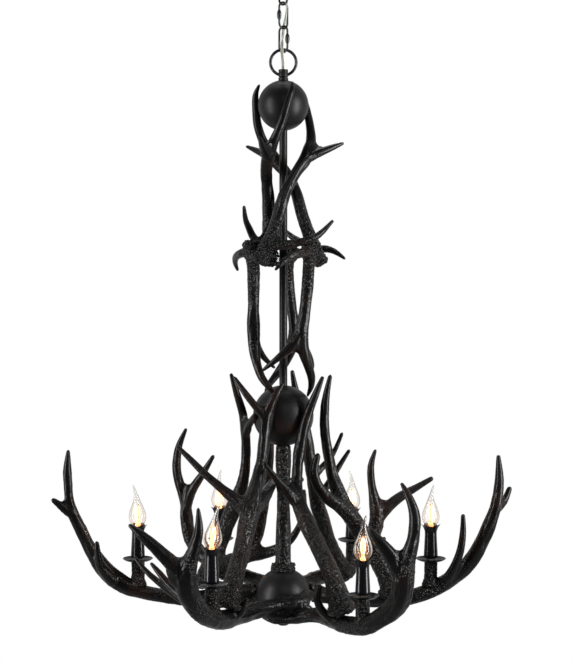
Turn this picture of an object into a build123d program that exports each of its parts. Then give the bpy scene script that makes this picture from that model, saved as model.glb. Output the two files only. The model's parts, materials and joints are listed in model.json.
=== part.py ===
from build123d import *

import os
from math import cos, radians, sin, sqrt, tan

# Antler chandelier: six candle lights, eighteen antlers and three spheres on one axis, hung on a chain.
# Millimetres, +Z up. The origin is the middle of the canopy's rim, where it meets the ceiling, so every
# piece hangs below it. +X is to the right and -Y is the side that faces the viewer.
# Azimuths are in degrees from +X, anticlockwise seen from above.

# ---------------------------------------------------------------- driving dimensions

FIT = 0.1                      # radial play of a rod or tube in its hole
LOOSE = 0.3                    # gap between curved faces that move on each other

CANOPY_R = 60.0
CANOPY_H = 32.0
CANOPY_WALL = 1.5
CROSSBAR = (100.0, 20.0, 3.0)
CEILING_HOLES = 88.0           # spacing of the two holes that take the ceiling box's screws
CEILING_HOLE_R = 2.5
CANOPY_SCREWS = 70.0           # spacing of the two screws that hold the canopy to the crossbar
CANOPY_SCREW_R = 2.0

LOOP_WIRE_R = 2.5
LOOP_R = 13.0
LINK_WIRE_R = 2.1
LINK_LENGTH = 51.8             # between the wire centres of a link's two ends
LINK_HALF_WIDTH = 11.4         # from the link's middle to the wire centre of a side
LINK_BEAD = (4.5, 11.0)        # half width and half length of the weld bead
LINK_ANGLES = (45.0, 135.0, 45.0, 135.0)
LINK_BEAD_SIDES = (1, 1, -1, -1)

RING_Z = -272.0
RING_R = 25.5
RING_WIRE_R = 3.0
RING_END_X = 4.4               # the ring's two ends stop this far from the axis, inside the collar
COLLAR_TOP = -286.0
COLLAR_R = 9.75
CORD_R = 1.8
CORD_BORE_R = 3.0

ROD_R = 5.0
NUT_R = 9.0
NUT_H = 6.0
STEM_R = 8.0
SPHERE_WALL = 4.0
TOP_SPHERE_Z, TOP_SPHERE_R = -357.0, 50.0
MIDDLE_SPHERE_Z, MIDDLE_SPHERE_R = -971.0, 60.0
BOTTOM_SPHERE_Z, BOTTOM_SPHERE_R = -1328.0, 55.0
COLUMN_R = 14.0
BURR_R = 24.0
BURR_H = 18.0
FINIAL_R = 11.0
SPIDER_Z = -655.0
SPIDER_REACH = 60.0
SPIDER_ARMS = (102, 222, 342)  # azimuths of the spider plate's arms
SCREW_R = 2.5
SCREW_HEAD = (4.5, 3.0)        # radius and height of an antler screw's head
SCREW_REACH = 16.0             # length of an antler screw with its head

# A candle is (azimuth, distance from the axis, height of its drip pan's rim).
CANDLES = {
    "left": (180.0, 288.0, -1255.0),
    "front_left": (243.0, 287.0, -1258.0),
    "front_right": (300.0, 290.0, -1279.0),
    "right": (0.0, 292.0, -1255.0),
    "back_right": (60.0, 293.0, -1258.0),
    "back_left": (118.0, 290.0, -1256.0),
}
CUP_R = 13.0
CUP_H = 46.0
PAN_R = 30.0
SLEEVE_R = 12.5
SLEEVE_H = 62.0
HOLDER_R = 10.0
SOCKET_R = 7.6                 # bore of the lampholder's top, which takes the bulb's screw cap
BULB_SEAT = SLEEVE_H + 4.0     # the bulb's glass starts this far above the drip pan's rim

# Heights of the hanging parts, from the ring up to the canopy.
ring_top = RING_Z + RING_R
link_drop = LINK_LENGTH - 2 * LINK_WIRE_R - LOOSE
link_bottoms = [ring_top - RING_WIRE_R - LINK_WIRE_R - LOOSE + link_drop * k for k in (3, 2, 1, 0)]
loop_bottom = link_bottoms[0] + LINK_LENGTH - LINK_WIRE_R - LOOP_WIRE_R - LOOSE
loop_z = loop_bottom + LOOP_R
pivot_z = RING_Z - sqrt(RING_R**2 - 7.0**2)

os.makedirs("parts", exist_ok=True)


# ---------------------------------------------------------------- helpers

def finish(piece, label):
    """Name a finished piece and write it to its own file."""
    piece.part.label = label
    export_step(piece.part, f"parts/{label}.step")
    print(f"{label}: {len(piece.part.solids())} solids, {piece.part.volume / 1000:.1f} cm3")


def around(azimuth, distance, height):
    """The point at an azimuth, a distance from the axis and a height."""
    return Vector(distance * cos(radians(azimuth)), distance * sin(radians(azimuth)), height)


def upright_plane(azimuth, height):
    """A level plane on the axis whose x direction points along the azimuth."""
    return Plane(origin=(0, 0, height), x_dir=around(azimuth, 1, 0), z_dir=(0, 0, 1))


def candle_base(name):
    """The point on a candle's axis at the height of its drip pan's rim."""
    return around(*CANDLES[name])


def square_sections(stations):
    """Planes square to a branch at its stations, turned as little as can be from one to the next."""
    points = [Vector(*s[:3]) for s in stations]
    planes = []
    side = None
    for k, point in enumerate(points):
        ahead = points[min(k + 1, len(points) - 1)]
        behind = points[max(k - 1, 0)]
        along = (ahead - behind).normalized()
        if side is None:
            side = along.cross(Vector(0, 1, 0.1))
        side = (side - along * side.dot(along)).normalized()
        planes.append(Plane(origin=point, x_dir=side, z_dir=along))
    return planes


def between(before, start, end, after, share):
    """A value between start and end on a smooth curve that also heeds its two neighbours."""
    slope_in = (end - before) / 2
    slope_out = (after - start) / 2
    rest = 1 - share
    return (
        start * rest**2 * (1 + 2 * share) + slope_in * rest**2 * share
        + end * share**2 * (1 + 2 * rest) - slope_out * share**2 * rest
    )


def smoothed(stations, steps=3):
    """The stations with more between them, on a smooth curve through all of them."""
    made = []
    for k in range(len(stations) - 1):
        before = stations[max(k - 1, 0)]
        after = stations[min(k + 2, len(stations) - 1)]
        for step in range(steps):
            values = zip(before, stations[k], stations[k + 1], after)
            made.append(tuple(between(*four, step / steps) for four in values))
    made.append(stations[-1])
    return made


def with_rounded_tip(stations):
    """The stations with two more past the last one, which round the tip."""
    last, before = stations[-1], stations[-2]
    end = Vector(*last[:3])
    along = (end - Vector(*before[:3])).normalized()
    radius = last[3]
    more = []
    for step, share in ((0.6, 0.82), (0.95, 0.42)):
        point = end + along * (radius * step)
        more.append((point.X, point.Y, point.Z, radius * share))
    return list(stations) + more


def antler(label, branches, burr=True):
    """One cast antler: the beam, its tines, and the knobbly burr at the beam's foot."""
    with BuildPart() as made:
        for branch in branches:
            stations = with_rounded_tip(smoothed(branch))
            for plane, station in zip(square_sections(stations), stations):
                with BuildSketch(plane):
                    Circle(station[3])
            loft(ruled=True)
        if burr:
            foot = square_sections(branches[0])[0]
            radius = branches[0][0][3]
            for rise, share in ((-7, 0.85), (-3, 1.12), (3, 1.15), (8, 0.9)):
                with BuildSketch(foot.offset(rise)):
                    Circle(radius * share)
            loft(ruled=True)
    finish(made, label)


# ---------------------------------------------------------------- ceiling mounting

with BuildPart() as canopy:
    Cylinder(CANOPY_R, CANOPY_H, align=(Align.CENTER, Align.CENTER, Align.MAX))
    fillet(canopy.edges().filter_by(GeomType.CIRCLE).sort_by(Axis.Z)[0], 14)
    with BuildSketch(Plane.XY):
        Circle(CANOPY_R - CANOPY_WALL)
    extrude(amount=-(CANOPY_H - 16), mode=Mode.SUBTRACT)
    with BuildSketch(Plane.XY.offset(-(CANOPY_H - 16))):
        Circle(CANOPY_R - CANOPY_WALL)
    with BuildSketch(Plane.XY.offset(-(CANOPY_H - CANOPY_WALL))):
        Circle(CANOPY_R - 16)
    loft(mode=Mode.SUBTRACT)
    with Locations((0, 0, -CANOPY_H)):
        Cylinder(ROD_R + FIT, 10, mode=Mode.SUBTRACT)
    with Locations((-CANOPY_SCREWS / 2, 0, -CANOPY_H), (CANOPY_SCREWS / 2, 0, -CANOPY_H)):
        Cylinder(CANOPY_SCREW_R + FIT, 20, mode=Mode.SUBTRACT)
finish(canopy, "canopy")

with BuildPart() as canopy_crossbar:
    Box(*CROSSBAR, align=(Align.CENTER, Align.CENTER, Align.MAX))
    fillet(canopy_crossbar.edges().filter_by(Axis.Z), 6)
    with Locations((-CEILING_HOLES / 2, 0, 0), (CEILING_HOLES / 2, 0, 0)):
        Hole(CEILING_HOLE_R)
    with Locations((-CANOPY_SCREWS / 2, 0, 0), (CANOPY_SCREWS / 2, 0, 0)):
        Hole(CANOPY_SCREW_R + FIT)
finish(canopy_crossbar, "canopy_crossbar")

with BuildPart() as canopy_screws:
    with Locations((-CANOPY_SCREWS / 2, 0, -0.5), (CANOPY_SCREWS / 2, 0, -0.5)):
        Cylinder(CANOPY_SCREW_R, CANOPY_H + 2, align=(Align.CENTER, Align.CENTER, Align.MAX))
    with Locations((-CANOPY_SCREWS / 2, 0, -CANOPY_H - 5.5), (CANOPY_SCREWS / 2, 0, -CANOPY_H - 5.5)):
        Sphere(5)
finish(canopy_screws, "canopy_screws")

with BuildPart() as canopy_loop:
    loop_plane = upright_plane(135, loop_z)
    with BuildSketch(loop_plane):
        with Locations((LOOP_R, 0)):
            Circle(LOOP_WIRE_R)
    revolve(axis=Axis(loop_plane.origin, loop_plane.y_dir))
    with BuildSketch(Plane.XY.offset(-CANOPY_H - 0.2)):
        Circle(8)
    extrude(amount=-6)
    with BuildSketch(Plane.XY.offset(-CANOPY_H - 0.2)):
        Circle(ROD_R)
    extrude(amount=10)
    with BuildSketch(Plane.XY.offset(-CANOPY_H + 10)):
        Circle(CORD_BORE_R)
    extrude(amount=-20, mode=Mode.SUBTRACT)
    with BuildSketch(Plane.XY.offset(-CANOPY_H + CANOPY_WALL)):
        RegularPolygon(NUT_R, 6)
    extrude(amount=5)
    with BuildSketch(Plane.XY.offset(-CANOPY_H + 10)):
        Circle(CORD_BORE_R)
    extrude(amount=-20, mode=Mode.SUBTRACT)
finish(canopy_loop, "canopy_loop")

TERMINAL_X = 17.0
with BuildPart() as terminal_block:
    with Locations((TERMINAL_X, 0, -CROSSBAR[2] - 0.2)):
        Box(14, 30, 13, align=(Align.MIN, Align.CENTER, Align.MAX))
    with Locations((TERMINAL_X + 7, -10, -16), (TERMINAL_X + 7, 0, -16), (TERMINAL_X + 7, 10, -16)):
        Cylinder(2.2, 5, mode=Mode.SUBTRACT)
finish(terminal_block, "terminal_block")


# ---------------------------------------------------------------- chain, ring and collar

def chain_link(label, angle, bottom, bead_side):
    """A stadium of round wire with the weld bead on one side. bottom is its lower wire centre's height."""
    straight = LINK_LENGTH - 2 * LINK_HALF_WIDTH
    middle = upright_plane(angle, bottom + LINK_LENGTH / 2)
    with BuildPart() as link:
        with BuildSketch(middle.offset(-straight / 2)):
            with Locations((-LINK_HALF_WIDTH, 0), (LINK_HALF_WIDTH, 0)):
                Circle(LINK_WIRE_R)
        extrude(amount=straight)
        for end in (-1, 1):
            centre = middle.offset(end * straight / 2)
            with BuildSketch(centre):
                with Locations((LINK_HALF_WIDTH, 0)):
                    Circle(LINK_WIRE_R)
            revolve(axis=Axis(centre.origin, centre.y_dir * -end), revolution_arc=180)
        side = middle.from_local_coords((bead_side * LINK_HALF_WIDTH, 0, 0))
        with BuildSketch(Plane(origin=side, x_dir=middle.x_dir, z_dir=middle.y_dir * -1)):
            Ellipse(*LINK_BEAD)
            with Locations((LINK_BEAD[0], 0)):
                Rectangle(2 * LINK_BEAD[0], 3 * LINK_BEAD[1], mode=Mode.INTERSECT)
        revolve(axis=Axis(side, (0, 0, 1)))
    finish(link, label)


for number, bottom in enumerate(link_bottoms):
    chain_link(f"chain_link_{number + 1}", LINK_ANGLES[number], bottom, LINK_BEAD_SIDES[number])

with BuildPart() as hanging_ring:
    with BuildLine(Plane.XZ) as ring_path:
        end_drop = sqrt(RING_R**2 - RING_END_X**2)
        right_end = (RING_END_X, RING_Z - end_drop)
        left_end = (-RING_END_X, RING_Z - end_drop)
        ThreePointArc(right_end, (0, RING_Z + RING_R), left_end)
    with BuildSketch(Plane(origin=ring_path.line @ 0, z_dir=ring_path.line % 0)):
        Circle(RING_WIRE_R)
    sweep()
finish(hanging_ring, "hanging_ring")

top_of_top_sphere = TOP_SPHERE_Z + TOP_SPHERE_R
with BuildPart() as ring_collar:
    with BuildSketch(Plane.XZ):
        with BuildLine():
            Polyline(
                (0, COLLAR_TOP), (COLLAR_R - 1, COLLAR_TOP), (COLLAR_R, COLLAR_TOP - 1.5),
                (COLLAR_R - 0.6, COLLAR_TOP - 5), (COLLAR_R, COLLAR_TOP - 8),
                (COLLAR_R, COLLAR_TOP - 14.2), (COLLAR_R - 2, COLLAR_TOP - 15.4),
                (COLLAR_R, COLLAR_TOP - 16.6), (COLLAR_R, top_of_top_sphere - 2),
                (0, top_of_top_sphere - 2), (0, COLLAR_TOP),
            )
        make_face()
    revolve(axis=Axis.Z)
    with BuildSketch(Plane.YZ):
        with Locations((0, pivot_z)):
            Circle(RING_WIRE_R + 1.3)
    extrude(amount=COLLAR_R + 1, both=True, mode=Mode.SUBTRACT)
    with BuildSketch(Plane.XY.offset(COLLAR_TOP + 1)):
        Circle(CORD_BORE_R)
    extrude(amount=-25, mode=Mode.SUBTRACT)
    with BuildSketch(Plane.XY.offset(pivot_z - 4.6)):
        Circle(ROD_R)
    extrude(amount=-10, mode=Mode.SUBTRACT)
    with Locations((0, 0, TOP_SPHERE_Z)):
        Sphere(TOP_SPHERE_R + 0.05, mode=Mode.SUBTRACT)
finish(ring_collar, "ring_collar")

# The cord runs down through the chain, a quarter of a turn round the axis in each link, and through the
# collar into the top sphere. Each corner lies in the free quarter beside the place where two links meet.
CORD_OUT = 9.2
meeting = [loop_bottom + 2.4] + [bottom - 2.2 for bottom in link_bottoms[:3]] + [ring_top - 2.7]
cord_route = [
    Vector(TERMINAL_X, 0, -10.5),
    Vector(7.5, 0, -10.5),
    Vector(0, 0, -18),
    Vector(0, 0, -38),
    around(180, CORD_OUT, meeting[0]),
    around(270, CORD_OUT, meeting[1]),
    around(0, CORD_OUT, meeting[2]),
    around(94, CORD_OUT, meeting[3] - 0.5),
    around(247, CORD_OUT, meeting[4]),
    Vector(0, 0, RING_Z - 2),
    Vector(0, 0, RING_Z - 48),
]


def corner_radii(route):
    """Each corner's radius: as large as its two runs allow."""
    radii = []
    for before, here, after in zip(route, route[1:], route[2:]):
        turn = (here - before).get_angle(after - here)
        shorter = min((here - before).length, (after - here).length)
        radii.append(0.45 * shorter / tan(radians(turn / 2)))
    return radii


cord_radii = corner_radii(cord_route)
print("cord radii", [round(r, 1) for r in cord_radii])
with BuildPart() as supply_cord:
    with BuildLine() as cord_path:
        FilletPolyline(*cord_route, radius=cord_radii)
    with BuildSketch(Plane(origin=cord_path.line @ 0, z_dir=cord_path.line % 0)):
        Circle(CORD_R)
    sweep()
cord_length = cord_path.wires()[0].length
cord_volume = 3.14159 * CORD_R**2 * cord_length
print(f"cord length {cord_length:.1f}, volume {supply_cord.part.volume:.0f} for {cord_volume:.0f}")
finish(supply_cord, "supply_cord")


# ---------------------------------------------------------------- axis: spheres, stem and column

def sphere_shell(label, centre_z, radius, top_hole, bottom_hole, seams):
    """A hollow sphere with a hole at the top and the bottom and shallow seam grooves."""
    with BuildPart() as shell:
        with Locations((0, 0, centre_z)):
            Sphere(radius)
            Sphere(radius - SPHERE_WALL, mode=Mode.SUBTRACT)
        with BuildSketch(Plane.XY.offset(centre_z)):
            Circle(top_hole)
        extrude(amount=radius + 1, mode=Mode.SUBTRACT)
        with BuildSketch(Plane.XY.offset(centre_z)):
            Circle(bottom_hole)
        extrude(amount=-(radius + 1), mode=Mode.SUBTRACT)
        for rise in seams:
            with Locations((0, 0, centre_z + rise)):
                Torus(sqrt(radius**2 - rise**2), 0.6, mode=Mode.SUBTRACT)
    finish(shell, label)


sphere_shell("top_sphere", TOP_SPHERE_Z, TOP_SPHERE_R, ROD_R + FIT, STEM_R + FIT, [36])
sphere_shell("middle_sphere", MIDDLE_SPHERE_Z, MIDDLE_SPHERE_R, STEM_R + FIT, ROD_R + FIT, [34, 38])
sphere_shell("bottom_sphere", BOTTOM_SPHERE_Z, BOTTOM_SPHERE_R, ROD_R + FIT, ROD_R + FIT, [])

stem_top = TOP_SPHERE_Z - TOP_SPHERE_R + 5
stem_bottom = MIDDLE_SPHERE_Z + MIDDLE_SPHERE_R - 5
with BuildPart() as stem_tube:
    with BuildSketch(Plane.XY.offset(stem_bottom)):
        Circle(STEM_R)
        Circle(ROD_R + 1, mode=Mode.SUBTRACT)
    extrude(amount=stem_top - stem_bottom)
finish(stem_tube, "stem_tube")

column_top = MIDDLE_SPHERE_Z - MIDDLE_SPHERE_R + 1.6
column_bottom = BOTTOM_SPHERE_Z + BOTTOM_SPHERE_R - 1.6
with BuildPart() as bark_column:
    with BuildSketch(Plane.XZ):
        with BuildLine():
            Line((ROD_R + FIT, column_bottom), (COLUMN_R + 2, column_bottom))
            Spline(
                (COLUMN_R + 2, column_bottom), (COLUMN_R + 1, column_bottom + 40),
                (COLUMN_R - 0.5, column_bottom + 110), (COLUMN_R - 1.5, column_bottom + 165),
                (COLUMN_R, column_bottom + 185), (COLUMN_R, column_top),
            )
            Line((COLUMN_R, column_top), (ROD_R + FIT, column_top))
            Line((ROD_R + FIT, column_top), (ROD_R + FIT, column_bottom))
        make_face()
    revolve(axis=Axis.Z)
    with Locations((0, 0, MIDDLE_SPHERE_Z)):
        Sphere(MIDDLE_SPHERE_R + 0.05, mode=Mode.SUBTRACT)
    with Locations((0, 0, BOTTOM_SPHERE_Z)):
        Sphere(BOTTOM_SPHERE_R + 0.05, mode=Mode.SUBTRACT)
finish(bark_column, "bark_column")

burr_z = BOTTOM_SPHERE_Z + BOTTOM_SPHERE_R
with BuildPart() as column_burr:
    with BuildSketch(Plane.XZ):
        with Locations(((BURR_R + COLUMN_R + 2) / 2, burr_z + 0.5)):
            RectangleRounded(BURR_R - COLUMN_R - 2.2, BURR_H, 3.5)
    revolve(axis=Axis.Z)
    with Locations((0, 0, BOTTOM_SPHERE_Z)):
        Sphere(BOTTOM_SPHERE_R + 0.05, mode=Mode.SUBTRACT)
finish(column_burr, "column_burr")

rod_top = pivot_z - 4.8
rod_bottom = BOTTOM_SPHERE_Z - BOTTOM_SPHERE_R - 1
with BuildPart() as axis_rod:
    with BuildSketch(Plane.XY.offset(rod_bottom)):
        Circle(ROD_R)
        Circle(CORD_BORE_R, mode=Mode.SUBTRACT)
    extrude(amount=rod_top - rod_bottom)
finish(axis_rod, "axis_rod")

flange_z = BOTTOM_SPHERE_Z + 10
nut_heights = [
    TOP_SPHERE_Z + TOP_SPHERE_R - SPHERE_WALL - NUT_H - 1.2,
    stem_top + 0.1,
    stem_bottom - NUT_H - 0.1,
    MIDDLE_SPHERE_Z - MIDDLE_SPHERE_R + SPHERE_WALL + 1.2,
    flange_z - NUT_H - 0.1,
    BOTTOM_SPHERE_Z - BOTTOM_SPHERE_R + SPHERE_WALL + 1.2,
]
with BuildPart() as axis_nuts:
    for height in nut_heights:
        with BuildSketch(Plane.XY.offset(height)):
            RegularPolygon(NUT_R, 6)
            Circle(ROD_R + FIT / 2, mode=Mode.SUBTRACT)
        extrude(amount=NUT_H)
finish(axis_nuts, "axis_nuts")

with BuildPart() as bottom_finial:
    with BuildSketch(Plane.XZ):
        with BuildLine():
            cap_top = BOTTOM_SPHERE_Z - BOTTOM_SPHERE_R + 1.2
            cap_foot = rod_bottom - 2
            Line((0, cap_foot), (FINIAL_R - 5, cap_foot))
            ThreePointArc((FINIAL_R - 5, cap_foot), (FINIAL_R - 1.5, cap_foot + 1.2), (FINIAL_R, cap_top))
            Polyline((FINIAL_R, cap_top), (0, cap_top), (0, cap_foot))
        make_face()
    revolve(axis=Axis.Z)
    with BuildSketch(Plane.XY.offset(cap_top + 1)):
        Circle(ROD_R + FIT / 2)
    extrude(amount=-(cap_top + 1 - rod_bottom), mode=Mode.SUBTRACT)
    with Locations((0, 0, BOTTOM_SPHERE_Z)):
        Sphere(BOTTOM_SPHERE_R + 0.05, mode=Mode.SUBTRACT)
finish(bottom_finial, "bottom_finial")

with BuildPart() as spider_plate:
    with BuildSketch(Plane.XY.offset(SPIDER_Z - 2)):
        Circle(17)
        for azimuth in SPIDER_ARMS:
            with Locations(Location((0, 0, 0), (0, 0, azimuth))):
                with Locations((SPIDER_REACH / 2, 0)):
                    Rectangle(SPIDER_REACH, 20)
        Circle(STEM_R + FIT, mode=Mode.SUBTRACT)
    extrude(amount=4)
finish(spider_plate, "spider_plate")

with BuildPart() as hub_flange:
    with BuildSketch(Plane.XY.offset(flange_z)):
        Circle(BOTTOM_SPHERE_R - SPHERE_WALL - 12)
        Circle(ROD_R + FIT, mode=Mode.SUBTRACT)
    extrude(amount=5)
finish(hub_flange, "hub_flange")


# ---------------------------------------------------------------- upper and hanging antlers

def turned(stations, azimuth):
    """Stations given as (azimuth, distance, height, radius), turned about the axis by an azimuth."""
    made = []
    for turn, distance, height, radius in stations:
        point = around(azimuth + turn, distance, height)
        made.append((point.X, point.Y, point.Z, radius))
    return made


upper_beam = [
    (-2, 70, -664, 17.5), (4, 64, -648, 15.5), (15, 53, -616, 13), (26, 42, -580, 12.5),
    (42, 34, -540, 12), (65, 33, -512, 11.5), (92, 36, -487, 11.5), (115, 43, -468, 13),
    (132, 51, -446, 12), (145, 57, -424, 9.8), (158, 60.5, -394, 8.6), (168, 59, -360, 7.8),
    (176, 57, -335, 6), (181, 49, -317, 3),
]
upper_side_tine = [(118, 44, -464, 12), (128, 68, -452, 9), (134, 94, -441, 6.8), (138, 119, -431, 3.5)]
upper_brow_tine = [
    (4, 62, -645, 11), (22, 60, -637, 9.5), (45, 64, -634, 8.5), (66, 77, -629, 7.5),
    (88, 91, -616, 6.5), (107, 104, -588, 3.5),
]
upper_back_brow_tine = [
    (4, 62, -645, 11), (22, 58, -636, 9.5), (45, 56, -628, 8.5), (68, 60, -617, 7.8),
    (90, 72, -600, 6.8), (102, 87, -584, 5.5), (109, 98, -561, 3.5),
]
for name, azimuth in (("front", 230), ("right", 350), ("back", 110)):
    brow_tine = upper_back_brow_tine if name == "back" else upper_brow_tine
    antler(f"upper_antler_{name}", [turned(s, azimuth) for s in (upper_beam, upper_side_tine, brow_tine)])

hanging_beam = [
    (4, 67, -632, 16.5), (3, 66, -652, 14.5), (2, 63, -682, 12.5), (-1, 62, -722, 11.5),
    (-6, 61, -764, 11.2), (-12, 59, -800, 12.8), (-8, 58, -834, 12), (5, 58, -866, 9.5),
    (23, 58, -893, 8), (42, 55, -914, 6), (56, 50.5, -932, 3),
]
hanging_side_tine = [
    (-13, 58, -806, 12), (-27, 56, -826, 10.5), (-45, 54, -842, 8), (-65, 55, -858, 6.2),
    (-81, 57, -870, 4.8), (-92, 59, -879, 3),
]
hanging_brow_tine = [
    (-4, 66, -646, 11), (-20, 80, -649, 9.5), (-38, 98, -655, 7.5), (-50, 112, -667, 5.5),
    (-57, 116, -682, 3.2),
]
hanging_back_brow_tine = [
    (-4, 66, -646, 11), (-20, 80, -649, 9.5), (-34, 92, -643, 8.5), (-46, 103, -640, 7.5),
    (-54, 116, -646, 5.8), (-60, 130, -659, 3.2),
]
for name, azimuth in (("left", 200), ("right", 320), ("back", 80)):
    brow_tine = hanging_back_brow_tine if name == "back" else hanging_brow_tine
    branches = [turned(s, azimuth) for s in (hanging_beam, hanging_side_tine, brow_tine)]
    antler(f"hanging_antler_{name}", branches)


# ---------------------------------------------------------------- upright and candle antlers
# Each branch is a list of stations (x, y, z, radius), the beam first. A tine starts inside its beam.

antler("upright_antler_front_left", [
    [(-106, -205, -1302, 24), (-98, -198, -1280, 19.5), (-87, -180, -1241, 17.5), (-76, -160, -1201, 16.5),
     (-67, -140, -1161, 17.5), (-58, -118, -1120, 16.5), (-49, -98, -1083, 13), (-40, -84, -1046, 12),
     (-36, -70, -1008, 12), (-33, -64.5, -974, 12), (-24, -65, -943, 9.5), (-12, -65, -921, 7),
     (-1, -62, -905, 3.5)],
    [(-68, -132, -1146, 14), (-86, -128, -1123, 12.5), (-115, -122, -1102, 9.5), (-148, -114, -1075, 7.5),
     (-179, -106, -1045, 6), (-203, -100, -1022, 4)],
    [(-34, -66, -974, 9), (-53, -69, -949, 7.5), (-74, -66, -922, 6.5), (-94, -58, -894, 4)],
    [(-63, -128, -1150, 13.5), (-44, -78, -1134, 14), (-30, -28, -1116, 11.5), (-18, 26, -1108, 9),
     (8, 48, -1108, 8), (36, 60, -1105, 6)],
])
antler("upright_antler_front_right", [
    [(109, -195, -1315, 24), (101, -192, -1282, 19.5), (85, -178, -1242, 17.5), (64, -152, -1203, 16),
     (43, -122, -1164, 15.5), (30, -98, -1133, 14.5), (26, -78, -1101, 12), (28, -66, -1068, 11.5),
     (32, -60, -1033, 11.5), (39, -57, -995, 10.5), (50, -52, -958, 9.5), (63, -53, -925, 7.5),
     (76, -55, -893, 4)],
    [(30, -100, -1136, 11.5), (13, -103, -1114, 10.5), (-8, -106, -1090, 8), (-25, -108, -1069, 5.5),
     (-37, -109, -1052, 3.5)],
])
antler("upright_antler_left", [
    [(-158, 22, -1311, 23), (-151, 29, -1286, 19), (-135, 38, -1244, 16), (-115, 42, -1198, 15),
     (-95, 42, -1150, 14.5), (-81, 38, -1107, 11), (-75, 32, -1063, 9.5), (-75, 26, -1018, 9.5),
     (-80, 18, -972, 9), (-92, 8, -929, 7.5), (-103, 0, -891, 4)],
    [(-76, 24, -1018, 7), (-68, 2, -990, 7), (-56, -30, -970, 6.5)],
])
antler("upright_antler_right", [
    [(212, -10, -1317, 23), (201, -21, -1283, 18.5), (169, -32, -1226, 17), (136, -34, -1174, 16.5),
     (113, -32, -1132, 14.5), (98, -25, -1088, 12), (89, -20, -1045, 10.5), (82, -16, -1002, 9.5),
     (81, -14, -963, 9), (85, -14, -927, 7), (92, -14, -894, 4.5)],
    [(137, -36, -1174, 14.5), (109, -50, -1145, 13), (83, -60, -1124, 12), (65, -62, -1098, 10),
     (60, -60, -1071, 8.5), (66, -58, -1047, 6.5)],
])
antler("upright_antler_back_right", [
    [(126, 150, -1312, 23), (113, 140, -1288, 18.5), (92, 120, -1239, 17), (74, 98, -1176, 15.5),
     (62, 80, -1117, 12.5), (53, 68, -1058, 12), (45, 61, -1007, 11), (34, 60.7, -961, 9.5),
     (24, 58, -922, 7), (18, 52, -888, 4.5)],
    [(69, 90, -1150, 9), (89, 100, -1123, 7.5), (112, 106, -1087, 6), (134, 110, -1053, 4)],
    [(60, 76, -1100, 8), (79, 86, -1083, 7), (101, 92, -1057, 5.5), (119, 94, -1017, 4)],
])
antler("upright_antler_back_left", [
    [(-127, 150, -1304, 23), (-108, 138, -1287, 17.5), (-74, 115, -1271, 13), (-43, 92, -1260, 12),
     (-13, 74, -1247, 11), (14, 66, -1227, 8.5), (32, 62, -1199, 6.5), (42, 60, -1163, 5.5),
     (42, 56, -1128, 4)],
    [(-74, 115, -1270, 11), (-52, 112, -1222, 11), (-38, 104, -1153, 11), (-29, 90, -1086, 10),
     (-28, 72, -1027, 9), (-31, 64, -973, 7.5), (-23, 58, -929, 4)],
])

antler("candle_antler_left", [
    [(-51.5, 8, -1319, 18), (-88, 10, -1330, 19), (-156, 10, -1336, 17), (-225, 6, -1331, 14.5),
     (-290, 0, -1317, 15), (-325, -4, -1300, 17.5), (-356, -8, -1270, 16), (-380, -10, -1234, 13),
     (-399, -12, -1196, 12.5), (-417, -14, -1158, 11.5), (-423, -14, -1127, 9.5), (-426, -12, -1081, 9),
     (-425, -8, -1042, 4)],
    [(-412, -14, -1168, 10.5), (-433, -22, -1150, 8), (-450, -28, -1136, 5.5)],
    [(-335, -14, -1296, 12.5), (-357, -34, -1265, 9.5), (-363, -42, -1234, 6.5), (-364, -44, -1218, 5)],
], burr=False)
antler("candle_antler_front_left", [
    [(54, -33, -1320, 9.5), (29.5, -59, -1326, 12), (-1, -68, -1330, 14), (-38, -83, -1334, 15.5),
     (-68, -122, -1336, 16.5), (-99, -190, -1333, 17.5), (-130, -255, -1320, 18), (-155, -300, -1290, 19),
     (-171, -330, -1250, 19.5), (-169, -340, -1212, 17), (-156, -345, -1176, 11.5), (-149, -348, -1144, 8.5),
     (-150, -350, -1108, 3.5)],
    [(-170, -336, -1230, 17), (-197, -340, -1204, 14), (-227, -338, -1176, 11), (-252, -335, -1154, 8.5),
     (-272, -330, -1139, 4)],
    [(-96, -184, -1333, 11), (-80, -198, -1320, 8), (-74, -204, -1304, 6), (-67, -204, -1295, 3.5)],
    [(-158, -300, -1290, 9), (-201, -275, -1260, 7), (-224, -262, -1237, 6), (-240, -255, -1220, 3.5)],
    [(-148, -284, -1298, 9), (-186, -262, -1283, 7.5), (-244, -240, -1243, 5.5), (-273, -225, -1214, 3.5)],
], burr=False)
antler("candle_antler_front_right", [
    [(-47, -38, -1343, 9), (-24, -59, -1355, 11.5), (7, -68, -1359.5, 13), (42, -88, -1350, 14.5),
     (72, -118, -1343, 15.5), (106, -180, -1344, 16.5), (144, -245, -1335, 17), (181, -290, -1308, 18),
     (206, -322, -1273, 19.5), (212, -340, -1234, 19.5), (218, -347, -1197, 15), (229, -350, -1161, 11.5),
     (232, -350, -1122, 10.5), (224, -346, -1091, 8), (210, -340, -1064, 3.5)],
    [(211, -338, -1232, 16), (190, -350, -1189, 12.5), (170, -352, -1164, 9.5), (155, -350, -1146, 5.5)],
    [(98, -164, -1343, 12), (72, -185, -1320, 8.5), (63, -192, -1295, 7.5), (67, -190, -1275, 6)],
], burr=False)
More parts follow.
